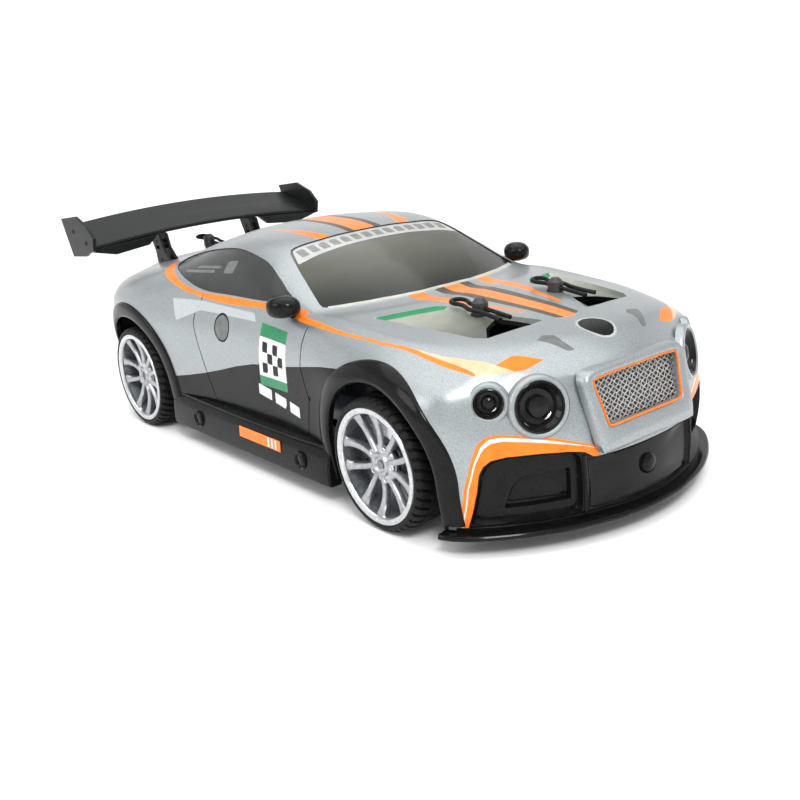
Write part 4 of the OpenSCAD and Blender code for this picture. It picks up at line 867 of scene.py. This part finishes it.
s = build_skin()
grooves = [cut_groove(s, path) for path in (DOOR_FRONT, DOOR_REAR)]
vent_inner = top(HOOD_VENT)
s.cut(lambda P: vent_inner(P) + VENT_EDGE)
N = skin_normals(s.u, s.v, s.P)

in_vent = np.minimum(vent_inner(s.P), 0)
groove_depth = np.zeros(len(s.P))
for g in grooves:
    groove_depth = np.maximum(groove_depth, GROOVE_DEPTH * np.clip(1 - np.abs(g(s.P)) / GROOVE_HALF, 0, 1))
depth = VENT_DEPTH * smoothstep(-in_vent / VENT_EDGE) + groove_depth

shell = (s.tag >= 0) & (s.tag < len(PAINTS))
tri_vent = (in_vent[s.T] < -SNAP).any(1)
tri_groove = (groove_depth[s.T] > 0.2).any(1)
own = np.where(tri_groove, 2, np.where(tri_vent, 1, 0))
tags = np.where(tri_groove & (s.tag == SILVER), GROOVE, s.tag)
skin_piece("body_shell_paint",
           half_solid(s.P, N, s.T[shell], tags[shell].tolist(), depth, depth + SKIN_T, wall_look=BLACK,
                      inner_look=INSIDE, own=own[shell]),
           PAINTS, "shell", ["body_shell"])

PANES = {
    "side_windows": {SIDE_GLASS: side_glass, GLASS_MARK: grey},
    "windscreen": {SCREEN: smoke_painted_reflection, STRIP: strip_paint, STRIP_MARK: strip_mark, BASE_EDGE: screen_edge},
    "rear_window": {BACK_GLASS: smoke_painted_reflection},
}
for name, looks in PANES.items():
    order = list(looks)
    pane = np.isin(s.tag, order)
    glass = half_solid(s.P, N, s.T[pane], [order.index(t) for t in s.tag[pane]], PANE_TOP, PANE_BOTTOM)
    skin_piece(name, glass, looks.values(), "shell", ["window_panels"])


def by_angle(points, centre, n):
    """Outline resampled at n even angles seen from its centre."""
    p = np.array(points) - centre
    a = np.mod(np.arctan2(p[:, 1], p[:, 0]), 2 * np.pi)
    order = np.argsort(a)
    a, p = a[order], p[order]
    t = np.linspace(0, 2 * np.pi, n, endpoint=False)
    a3 = np.concatenate([a - 2 * np.pi, a, a + 2 * np.pi])
    p3 = np.concatenate([p, p, p])
    return np.stack([np.interp(t, a3, p3[:, 0]), np.interp(t, a3, p3[:, 1])], 1) + centre


def dense(outline, step=0.4):
    """Closed outline with extra points along its straight sides."""
    o = np.array(outline, float)
    out = []
    for a, b in zip(o, np.roll(o, -1, 0)):
        m = max(int(np.linalg.norm(b - a) / step), 1)
        out += [a + (b - a) * k / m for k in range(m)]
    return np.array(out)


def sunk_panel(outer, inner, centre, steps, n=120, back=1.2):
    """Panel on the front skin. steps are (share of the way from outer to inner outline, depth)."""
    o, i = by_angle(dense(outer), centre, n), by_angle(dense(inner), centre, n)
    rings = []
    for share, d in list(steps) + [(f, d + back) for f, d in reversed(steps)]:
        q = o + (i - o) * min(share, 1)
        if share > 1:
            q = centre + (q - centre) * (2 - share)
        at, nrm = on_skin(np.maximum(np.abs(q[:, 0]), 1e-3), q[:, 1], (0, 2), lambda P: P[:, 1] < -100)
        at, nrm = at * 1.0, nrm * 1.0
        at[:, 0], nrm[:, 0] = q[:, 0], nrm[:, 0] * np.sign(q[:, 0] + 1e-9)
        rings.append(at - nrm * d)
    return loft(rings, loop=True, caps=False)


def front_intakes():
    shape = Shape()
    steps = [
        (0, -0.15), (0.02, 0.0), (0.07, 2.0), (0.13, 2.6), (0.5, 2.7), (0.97, 2.8), (1.0, 3.1), (1.03, 5.0),
        (1.12, 5.6), (1.6, 5.7), (1.995, 5.7)]
    verts, faces = sunk_panel(SIDE_INTAKE, RECESS, np.array((39.0, 18.5)), steps)
    for mirror in (False, True):
        shape.add(verts, [list(reversed(f)) for f in faces], 0, None, mirror)
    half = [(24.3, 9.7), (24.3, 26), (0, 26), (-24.3, 26), (-24.3, 9.7), (0, 9.7)]
    small = [(x * 0.5, 18 + (z - 18) * 0.5) for x, z in half]
    verts, faces = sunk_panel(
        half, small, np.array((0.0, 18.0)),
        [(0, -0.15), (0.02, 0.0), (0.08, 0.9), (0.2, 1.2), (1.0, 1.3), (1.5, 1.3), (1.99, 1.3)])
    shape.add(verts, [list(reversed(f)) for f in faces])
    for x in (25.4, -25.4):
        zs = np.linspace(9.4, 27.6, 12)
        at, nrm = on_skin(np.full(12, abs(x)), zs, (0, 2), lambda P: P[:, 1] < -100)
        shape.add(*tube([(math.copysign(p[0], x), p[1] + 0.1, p[2]) for p in at], 0.75, 10))
    plug = [(0, 1.5), (1.6, 1.4), (2.6, 1.0), (3.2, 0.3), (3.4, -0.8), (3.4, -3), (0, -3)]
    face = skin(np.array([0.0]), np.array([0.9]))[0]
    shape.add(*lathe(plug, 40), 0, turned("X", 0, face[1] + 0.9, 18.2))
    piece("front_bumper_black", shape, [gloss_black], "shell", ["front_bumper"], sharp=28)


def arch_trims():
    """Raised lips round the wheel openings, laid on the skin."""
    section = [
        (27.75, -1.7), (27.75, 0.1), (28.3, 0.55), (29.0, 0.8), (31, 0.85), (33, 0.8), (33.8, 0.5),
        (34.1, -0.05), (33.8, -0.5)]
    for y0, name in ((FRONT_Y, "front_arch_trims"), (REAR_Y, "rear_arch_trims")):
        path = [(-1, 0, z) for z in np.linspace(9.6, AXLE_Z - 1, 8)]
        path += [(-math.cos(a), math.sin(a), None) for a in np.linspace(0, math.pi, 72)]
        path += [(1, 0, z) for z in np.linspace(AXLE_Z - 1, 9.6, 8)]
        rings = []
        for r, d in section:
            ys = [y0 + r * c for c, _, _ in path]
            zs = [z if z is not None else AXLE_Z + r * sn for _, sn, z in path]
            at, nrm = on_skin(ys, zs, (1, 2), lambda P: (P[:, 0] > 40) & (np.abs(P[:, 1] - y0) < 45))
            rings.append(at + nrm * d)
        rings = [[rings[k][i] for k in range(len(section))] for i in range(len(path))]
        shape = Shape()
        verts, faces = loft(rings)
        for mirror in (False, True):
            shape.add(verts, faces, 0, None, mirror)
        piece(name, shape, [gloss_black], "shell", ["side_skirts"], sharp=50)


front_intakes()
arch_trims()


# ---------- grille ----------
def leaned(p, dy=0.0):
    return (p[0], p[1] + dy + LEAN_K * (p[2] - LEAN_Z), p[2])


def outline_both(half):
    return [(x, z) for x, z in half] + [(-x, z) for x, z in reversed(half) if x > 0]


def grille_pieces():
    inner_half = [(0, 35.2), (15.5, 35.2), (17.6, 36.4), (18.6, 42), (19.8, 48), (18.4, 49.6), (0, 49.9)]
    outer_half = [(0, 27.8), (19, 27.8), (21.8, 29.2), (22.6, 36), (23.6, 48), (22.4, 51.2), (19, 52.2), (0, 52.4)]
    inner, outer = [smooth_path(outline_both(half), 4, True) for half in (inner_half, outer_half)]
    middle = np.array((0, 42))
    inn, out = by_angle(inner, middle, 120), by_angle(outer, middle, 120)
    ring = []
    # section across the frame: share from the outer to the inner edge, and its y
    section = [(0.0, -142.2), (0.0, -144.6), (0.08, -145.6), (0.22, -146.2), (0.5, -146.4), (0.8, -146.1),
               (0.95, -145.4), (1.0, -144.4), (1.0, -142.0)]
    for o, i in zip(out, inn):
        ring.append([leaned((o[0] + (i[0] - o[0]) * k, y, o[1] + (i[1] - o[1]) * k)) for k, y in section])
    verts, faces = loft(ring, closed=True, caps=False, loop=True)
    shape = Shape().add(verts, faces)
    piece("grille_surround", shape, [silver], "shell", bevel=0, sharp=40)
    line = Shape()
    verts, faces = tube([leaned((p[0], -145.6, p[1])) for p in inn], 0.38, 6, loop=True)
    line.add(verts, faces)
    piece("grille_orange_line", line, [orange], "shell")
    net = Shape()
    # woven diamond wires clipped by the inner outline
    def inside(x, z):
        return outline_field(np.array([x]), np.array([z]), inn)[0] < 0.3
    pitch, r = 1.5, 0.2
    for slope in (1, -1):
        for c in np.arange(-60, 60, pitch):
            pts = []
            for t in np.arange(-32, 32, 0.5):
                x, z = t, 42.5 + slope * (t * 0.8) + c * 1.2
                if 34.9 < z < 50.2 and abs(x) < 20.4 and inside(x, z):
                    weave = 0.22 * math.sin(math.pi * (x / pitch + (0.5 if slope > 0 else 0)))
                    pts.append(leaned((x, -143.6 + weave, z)))
            if len(pts) > 2:
                verts, faces = tube(pts, r, 5)
                net.add(verts, faces)
    piece("grille_mesh", net, [mesh_silver], "shell", ["grille"])
    back = Shape()
    verts, faces = slab([(p[0] * 1.01, p[1]) for p in inn], 0, 0.5)
    verts = [leaned((x, -142.4 + z, y)) for x, y, z in verts]
    back.add(verts, [list(reversed(f)) for f in faces])
    piece("grille_backing", back, [mesh_back], "shell")


grille_pieces()


# ---------- lamps ----------
def lamp_pieces():
    shape, rings = Shape(), Shape()
    for p in LAMPS:
        r = p[3]
        m = lamp_matrix(p)
        bowl = [
            (r - 0.9, 0.1), (r - 1.2, 0.2), (r - 1.6, -0.5), (r * 0.72, -1.2), (r * 0.62, -2.6), (0, -2.9),
            (0, -4.0), (r - 0.5, -4.0), (r - 0.4, -0.2)]
        eye = [(0, -0.5), (r * 0.2, -0.65), (r * 0.36, -1.2), (r * 0.42, -2.2), (r * 0.42, -2.9), (0, -2.9)]
        lip = [
            (r + 1.3, -2.4), (r + 1.2, -0.7), (r + 0.9, 0.1), (r + 0.4, 0.5), (r - 0.2, 0.5),
            (r - 0.6, 0.1), (r - 0.7, -0.8), (r - 0.2, -2.4)]
        for mirror in (False, True):
            shape.add(*lathe(bowl, 56), 0, m, mirror)
            shape.add(*lathe(eye, 40), 0, m, mirror)
            # bright crescents inside the lens, painted reflections on the glossy lens
            for start, end, share, thick in ((-75, -15, 0.78, 0.05), (100, 150, 0.8, 0.03),
                                             (-150, -110, 0.5, 0.04)):
                arc = [(share * r * math.cos(t), share * r * math.sin(t), -1.3)
                       for t in np.radians(np.linspace(start, end, 14))]
                radii = [thick * r * math.sin(math.pi * (k + 0.5) / 14) + 0.03 for k in range(14)]
                shape.add(*tube(arc, radii, 8), 1, m, mirror)
            rings.add(*lathe(lip, 64), 0, m, mirror)
    piece("headlights_black", shape, [lens, lens_painted_glint], "shell", ["headlights"])
    piece("headlight_rims", rings, [silver], "shell")


lamp_pieces()


# ---------- aero parts ----------
def hem_ring(u0, u1, n, section):
    """Loft along the shell's lower edge, both halves in one run. section gives (outwards, z)."""
    us = np.linspace(u0, u1, n)
    pts = skin(us, 0 * us)
    nrm = skin_normals(us, 0 * us, pts)
    nrm[:, 2] = 0
    nrm /= np.linalg.norm(nrm, axis=1)[:, None]
    right = [[(p[0] + d * o[0], p[1] + d * o[1], z) for d, z in section] for p, o in zip(pts, nrm)]
    left = [[(-x, y, z) for x, y, z in ring] for ring in right]
    if pts[0][0] < 1e-6:
        return loft(left[::-1][:-1] + right)
    return loft(right + left[::-1][1:])


def splitter():
    shape = Shape()
    verts, faces = hem_ring(0, 4.25, 60, [(-9, 7.4), (-9, 5.7), (2.9, 5.7), (3.6, 5.9), (3.88, 6.4), (3.88, 7.0),
                                          (3.5, 7.5), (2.8, 7.65), (2.1, 7.5), (-0.5, 7.45)])
    shape.add(verts, faces)
    riser = hem_ring(0, 3.95, 50, [(-2.2, 7.3), (0.25, 7.3), (0.25, 8.9), (-0.2, 9.1), (-2.2, 9.1)])
    shape.add(*riser)
    piece("front_splitter_black", shape, [gloss_black], "shell", ["front_splitter"], bevel=0.12)


def diffuser():
    shape = Shape()
    shape.add(*hem_ring(17.1, 20, 50, [(-10, 7.5), (-10, 5.9), (0.1, 5.9), (0.4, 6.2), (0.4, 7.4), (0.1, 7.65),
                                       (-3, 7.65)]))
    for x in (-30, -18, -6, 6, 18, 30):
        y1 = 129.5 if abs(x) < 20 else 124
        shape.add(*slab([(y1 - 10, 7.5), (y1 - 1, 7.5), (y1, 9), (y1 - 1.5, 12.6), (y1 - 8, 12.6)], -0.6, 0.6),
                  0, upright(x))
    piece("rear_diffuser_black", shape, [satin_black], "shell", ["rear_diffuser"], bevel=0.2)


BAR_W = 1.015                                        # plain bars on the sill label


def skirts():
    shape, plugs = Shape(), Shape()
    section = [
        (57.4, 7), (62.2, 7), (62.8, 7.4), (63, 9), (62.9, 12.5), (62.5, 16.4), (61.8, 18.4), (60.4, 20),
        (59, 20.9), (57.6, 21)]
    ys = [-57.6, -57, -54, -40, -20, 0, 20, 40, 54, 57, 57.6]
    trim = [0.9, 0.3, 0, 0, 0, 0, 0, 0, 0, 0.3, 0.9]
    for mirror in (False, True):
        rings = [[(x - t * (x - 57.4) * 0.18, y, z) for x, z in section] for y, t in zip(ys, trim)]
        shape.add(*loft([r[::-1] for r in rings]), 0, None, mirror)
        ledge = smooth_path([(60.2, -55, 20.6), (60.9, -30, 20.3), (60.9, 10, 20.3), (60.2, 54, 20.6)], 12)
        shape.add(*tube(ledge, 0.7, 8), 0, None, mirror)
        for y in (-41.2, 33.7):
            at = turned("Y", 62.2, y, 13.6)
            plugs.add(*lathe([(0, 1.1), (1.6, 1.05), (2.2, 0.8), (2.5, 1.2), (3.0, 1.5), (3.35, 1.2), (3.4, 0),
                              (0, 0)], 40), 0, at, mirror)
        faces = [[4, 5, 6, 7], [0, 3, 2, 1], [0, 1, 5, 4], [1, 2, 6, 5], [2, 3, 7, 6], [3, 0, 4, 7]]
        panel = [(62.92, -28, 13.4), (62.92, 1, 13.4), (62.68, 1, 17.6), (62.68, -28, 17.6)]
        plugs.add(panel + [(x + 0.12, y, z) for x, y, z in panel], faces, 1, None, mirror)
        for y in (-25.5, -23, -20.5):
            mark = [(62.98, y, 13.8), (62.98, y + BAR_W, 13.8), (62.8, y + BAR_W, 17.2), (62.8, y, 17.2)]
            plugs.add(mark + [(x + 0.14, y1, z) for x, y1, z in mark], faces, 2, None, mirror)
    piece("side_skirts_black", shape, [black_paint], "shell", ["side_skirts"], bevel=0.25)
    piece("skirt_plugs", plugs, [gloss_black, orange, white], "shell", sharp=30)


def mirrors():
    shape = Shape()
    stations = [(-39.4, 0.4, 0.4), (-38.7, 2.3, 1.9), (-37.2, 3.8, 3.0), (-34.8, 4.9, 3.7), (-32.4, 5.2, 3.9),
                (-30.2, 4.9, 3.7), (-29.2, 4.3, 3.2)]
    for mirror in (False, True):
        rings = []
        for y, w, h in stations:
            sweep = 57.3 + (y + 33) * 0.15
            rings.append([(sweep + w * math.copysign(abs(math.cos(a)) ** 0.8, math.cos(a)), y,
                           66.9 + h * math.copysign(abs(math.sin(a)) ** 0.8, math.sin(a)))
                          for a in [2 * math.pi * k / 28 for k in range(28)]])
        shape.add(*loft([r[::-1] for r in rings]), 0, None, mirror)
        shape.add(*tube(smooth_path([(51.6, -32.6, 62.2), (54, -32.6, 63.4), (57.4, -32.4, 65.6)], 5),
                        [1.5, 1.45, 1.4, 1.35, 1.3, 1.25, 1.25, 1.3, 1.35, 1.4, 1.5], 14), 0, None, mirror)
    piece("door_mirrors_black", shape, [gloss_black], "shell", ["door_mirrors"], sharp=50)


def wing():
    half = 60.4
    blade = [
        (120.2, 76.6), (120.6, 77.6), (121.6, 78.2), (126, 79.9), (132, 81.6), (139, 83.6), (145.6, 86.2),
        (146.2, 85.6), (140, 82.2), (132, 79.4), (126, 77.6), (121.4, 76), (120.5, 76.1)]
    xs = np.linspace(-half - 0.1, half + 0.1, 41)
    shape = Shape()
    shape.add(*loft([[(x, y, z + 3.2 * (1 - (x / half) ** 2)) for y, z in blade] for x in xs]))
    plate = [
        (149.9, 89.5), (132.8, 91.2), (121, 87.1), (115.2, 81.9), (116.7, 76.2), (123.4, 74.7),
        (126.9, 73.1), (141.8, 72)]
    for mirror in (False, True):
        shape.add(*slab(plate, half, half + 1.6), 0, upright(), mirror)
        for y, z in ((124, 79.5), (137, 84)):
            at = turned("Y", half + 1.4, y, z)
            screw = [(0, 0.25), (0.5, 0.1), (0.7, 0.5), (1.1, 0.45), (1.3, 0.1), (1.3, -0.3), (0, -0.3)]
            shape.add(*lathe(screw, 24), 0, at, mirror)
    drop = [(28, 78.6), (60.6, 76.4), (60.6, 75.2), (50, 72.6), (33, 74.4)]
    across = Matrix(((1, 0, 0, 0), (0, 0, 1, 0), (0, 1, 0, 0), (0, 0, 0, 1)))
    for mirror in (False, True):
        verts, faces = slab(drop, 119.5, 122.3)
        shape.add(verts, [list(reversed(f)) for f in faces], 0, across, mirror)
    piece("rear_wing_black", shape, [wing_black], "shell", ["rear_wing"], bevel=0.3, sharp=40)
    stands = Shape()
    outline = [(110, 63.6), (125.6, 62.6), (126.4, 70), (131.6, 80.6), (120.6, 78.2), (118.6, 72)]
    for mirror in (False, True):
        for x in (22.6, 26.2):
            stands.add(*slab(outline, x, x + 1.2), 0, upright(), mirror)
        stands.add(*slab([(22.6, 121.6), (27.4, 121.6), (27.4, 125), (22.6, 125)], 71, 73), 0, None, mirror)
        for y, z in ((121.5, 66), (124.5, 74.5)):
            at = turned("Y", 22.4, y, z)
            pin = [(0, -0.2), (0.9, -0.1), (1.0, 0.2), (1.0, 5.0), (0.9, 5.2), (0, 5.3)]
            stands.add(*lathe(pin, 20), 0, at, mirror)
    piece("wing_stands_black", stands, [satin_black], "shell", ["wing_stands"], bevel=0.18)


splitter()
diffuser()
skirts()
mirrors()
wing()


# ---------- wheels ----------
HALF_W = 8.75


def rim_shape(bore):
    shape = Shape()
    h = HALF_W
    lip = [
        (18.3, h - 2.2), (19.45, h - 1.2), (19.62, h - 0.55), (19.4, h - 0.12), (19.0, h), (18.2, h - 0.05),
        (17.65, h - 0.3), (17.3, h - 0.9), (17.35, h - 2.2)]
    shape.add(*lathe(lip[::-1], 120))
    # the barrel takes the darker disc steel: painted shade behind the bright lip
    barrel = [
        (17.3, -h + 0.4), (19.3, -h + 0.4), (19.4, -h + 1.0), (18.3, -h + 1.8), (18.3, h - 2.1),
        (17.5, h - 2.1), (17.2, h - 4.5), (17.2, 0)]
    shape.add(*lathe(barrel[::-1], 96), 1)
    hub = [
        (bore, 1.3), (bore, 5.6), (2.3, 5.7), (2.7, 6.3), (3.3, 6.5), (3.9, 6.3), (4.3, 5.6), (6.2, 5.0),
        (6.6, 4.4), (6.6, 3.4), (4.7, 3.2), (4.7, 1.3)]
    shape.add(*lathe(hub[::-1], 60), 5)
    radii = [3.6, 5.5, 8, 11, 14, 16.2, 17.5]
    middle = [1.2, 1.75, 2.55, 3.3, 3.85, 4.1, 4.15]
    width = [1.25, 1.2, 1.12, 1.15, 1.25, 1.5, 2.0]
    height = [5.9, 5.7, 5.5, 5.6, 6.2, 6.9, 7.4]
    for i in range(5):
        for sign in (1, -1):
            rings = []
            for r, m, w, z in zip(radii, middle, width, height):
                a = sign * math.asin(m / r)
                c = Vector((math.cos(a), math.sin(a), 0))
                t = Vector((-c.y, c.x, 0))
                ring = []
                for dx, dz in ((-1, -2.2), (1, -2.2), (1.05, -0.8), (0.78, -0.2), (0.3, 0.02), (-0.3, 0.02),
                               (-0.78, -0.2), (-1.05, -0.8)):
                    ring.append(c * r + t * (dx * w) + Vector((0, 0, z + dz)))
                rings.append(ring)
            turn = Matrix.Rotation(math.radians(72 * i + 90), 4, "Z")
            shape.add(*loft(smooth_rings(rings, 4)), 5, turn)
        turn = Matrix.Rotation(math.radians(72 * i + 90 + 36), 4, "Z")
        nut = [(0.45, 0), (1.15, 0), (1.15, 0.7), (0.95, 1.0), (0.65, 0.95), (0.45, 0.6)]
        shape.add(*lathe(nut[::-1], 24), 0, turn @ Matrix.Translation((5.3, 0, 4.7)))
    # brake disc with drilled dots and its caliper, moulded in behind the spokes
    disc = [(4.2, 1.4), (4.2, 2.2), (6.4, 2.2), (6.8, 1.9), (13.6, 1.9), (14.0, 1.6), (14.0, 0.9), (4.2, 0.9)]
    shape.add(*lathe(disc[::-1], 72), 1)
    for i in range(36):
        a = 2 * math.pi * i / 36
        r = (8.3, 10.3, 12.3)[i % 3]
        shape.add(*lathe([(0, 0.06), (0.4, 0.05), (0.42, -0.1), (0, -0.1)], 10), 2,
                  Matrix.Translation((r * math.cos(a), r * math.sin(a), 1.93)))
    corners = [(9.6, -22), (12, -27), (15.2, -24), (15.6, 0), (15.2, 24), (12, 27), (9.6, 22), (9.2, 0)]
    block = []
    for z, s in ((0.8, 1.0), (3.3, 1.0), (3.7, 0.93)):
        polar = [(11.9 + (r - 11.9) * s, math.radians(a * s)) for r, a in corners]
        block.append([(r * math.cos(a), r * math.sin(a), z) for r, a in polar])
    shape.add(*loft(block), 3, Matrix.Rotation(math.radians(200), 4, "Z"))
    back = [(3.5, 0.2), (3.5, 0.8), (17.4, 0.8), (17.4, 0.2)]
    shape.add(*lathe(back[::-1], 72), 4)
    return shape


def smooth_rings(rings, parts):
    n = len(rings[0])
    columns = [smooth_path([tuple(r[k]) for r in rings], parts) for k in range(n)]
    return [[tuple(columns[k][i]) for k in range(n)] for i in range(len(columns[0]))]


def tyre_shape():
    h = HALF_W
    profile = [
        (18.2, -h + 1.95), (19.45, -h + 1.2), (19.72, -h + 0.5), (20.3, -h + 0.1), (21.0, -h + 0.25),
        (21.5, -h + 0.55), (21.95, -h + 1.1), (22.25, -h + 1.8), (22.4, -h + 2.7), (22.4, -5.0),
        (22.4, -4.2), (22.4, -3.3), (22.4, -3.1), (21.8, -3.0), (21.8, -2.4), (22.4, -2.3), (22.4, -1.2),
        (22.4, -0.4)]
    full = profile + [(r, -z) for r, z in reversed(profile)]
    n = 336
    verts, blocks = [], 42
    for i in range(n):
        a = 2 * math.pi * i / n
        for r, z in full:
            depth = 0.0
            if r > 21.4 and abs(z) > 2.6 and (i / n * blocks + 0.11 * abs(z)) % 1 < 0.26:
                depth = 0.8
            elif r > 22 and abs(z) < 2.3 and (i / n * blocks * 0.5 + 0.12 * z) % 1 < 0.12:
                depth = 0.35
            verts.append(((r - depth) * math.cos(a), (r - depth) * math.sin(a), z))
    m = len(full)
    faces = [[i * m + k, (i + 1) % n * m + k, (i + 1) % n * m + (k + 1) % m, i * m + (k + 1) % m]
             for i in range(n) for k in range(m)]
    shape = Shape().add(verts, faces)
    for z, r in ((h - 0.13, 20.35), (-h + 0.13, 20.35)):
        shape.add(*lathe([(r - 0.16, z - 0.1), (r, z + 0.08), (r + 0.16, z - 0.1), (r, z - 0.2)], 120))
    return shape


RIM_LOOKS = [rim_silver, disc_steel_and_painted_shade, satin_black, rim_silver, disc_steel_and_painted_shade, spoke_silver]
tyre_mesh, rims = tyre_shape(), {"front": rim_shape(1.56), "rear": rim_shape(1.98)}
for which, y in (("front", FRONT_Y), ("rear", REAR_Y)):
    for label, sign in (("left", 1), ("right", -1)):
        body = f"front_wheel_{label}" if which == "front" else "rear_axle"
        at = turned("Y", HALF_TRACK, y, AXLE_Z)
        for part, source, looks, slot in (("rim", rims[which], RIM_LOOKS, "rim_silver"),
                                          ("tyre", tyre_mesh, [rubber], "tyre_rubber")):
            shape = Shape()
            shape.add(source.verts, source.faces, 0, at, sign < 0)
            shape.mats = list(source.mats)
            piece(f"{which}_{part}_{label}_detailed", shape, looks, body, [f"{which}_{part}_{label}"],
                  sharp=32)


# ---------- carried-over CAD nodes ----------
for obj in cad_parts.values():
    if obj.hide_render:
        continue
    for i, m in enumerate(obj.data.materials):
        key = m.name.split(".")[0] if m else ""
        if key in CAD_LOOKS:
            obj.data.materials[i] = CAD_LOOKS[key]


# ---------- stage, light and camera ----------
def stage():
    """Round studio floor that curves up into a low wall, so every view has the same plain backdrop."""
    floor_look = surface("studio_floor", (0.88, 0.88, 0.88), (0.86, 0.86, 0.86), 0.8, 0.05, 0.0, 6, 0.02, 60)
    flat, bend, height = 3.2, 1.4, 2.4
    profile = [(0.02, 0), (flat, 0)]
    profile += [(flat + bend * math.sin(a), bend - bend * math.cos(a))
                for a in np.linspace(0.12, math.pi / 2, 12)]
    profile += [(flat + bend, height)]
    verts, faces = lathe([(r / MM, z / MM - 0.02) for r, z in profile], 72, closed=False)
    faces.append([i * len(profile) for i in range(72)])
    mesh = bpy.data.meshes.new("studio_floor")
    mesh.from_pydata([(x * MM, y * MM, z * MM) for x, y, z in verts], [], faces)
    mesh.materials.append(floor_look)
    mesh.polygons.foreach_set("use_smooth", [True] * len(faces))
    floor = bpy.data.objects.new("studio_floor", mesh)
    bpy.context.scene.collection.objects.link(floor)


def softbox(name, at, target, size, power, colour=(1, 1, 1)):
    light = bpy.data.lights.new(name, "AREA")
    light.shape = "RECTANGLE"
    light.size, light.size_y = size
    light.energy = power
    light.color = colour
    obj = bpy.data.objects.new(name, light)
    bpy.context.scene.collection.objects.link(obj)
    obj.location = at
    obj.rotation_euler = (Vector(target) - Vector(at)).to_track_quat("-Z", "Y").to_euler()


CAMERA_AT = (-239.59, -331.84, 138.86)
CAMERA_AZIMUTH, CAMERA_ELEVATION, CAMERA_ROLL = -37.515, 17.463, -5.162
CAMERA_LENS = 45.8


def camera():
    """Camera at CAMERA_AT; azimuth 0 looks along +Y, the roll turns it about its own axis."""
    azimuth, elevation = math.radians(CAMERA_AZIMUTH), math.radians(CAMERA_ELEVATION)
    back = Vector((math.sin(azimuth) * math.cos(elevation), -math.cos(azimuth) * math.cos(elevation),
                   math.sin(elevation)))
    data = bpy.data.cameras.new("camera")
    data.sensor_width = 36
    data.lens = CAMERA_LENS
    data.clip_start = 0.01
    obj = bpy.data.objects.new("camera", data)
    bpy.context.scene.collection.objects.link(obj)
    level = back.to_track_quat("Z", "Y").to_matrix().to_4x4()
    roll = Matrix.Rotation(math.radians(CAMERA_ROLL), 4, "Z")
    obj.matrix_world = Matrix.Translation(Vector(CAMERA_AT) * MM) @ level @ roll
    bpy.context.scene.camera = obj


stage()
softbox("key_light", (-0.55, -0.95, 1.2), (0, 0, 0.04), (0.4, 0.4), 12)
softbox("top_light", (0, 0, 3.2), (0, 0, 0), (5.5, 5.5), 150)
softbox("side_light", (-1.3, 0.4, 0.8), (0, 0, 0.05), (0.6, 0.6), 4)
camera()
world = bpy.data.worlds.new("world")
world.use_nodes = True
world.node_tree.nodes["Background"].inputs["Color"].default_value = (1, 1, 1, 1)
world.node_tree.nodes["Background"].inputs["Strength"].default_value = 0.62
bpy.context.scene.world = world
bpy.context.scene.view_settings.view_transform = "Standard"

bpy.context.view_layer.update()
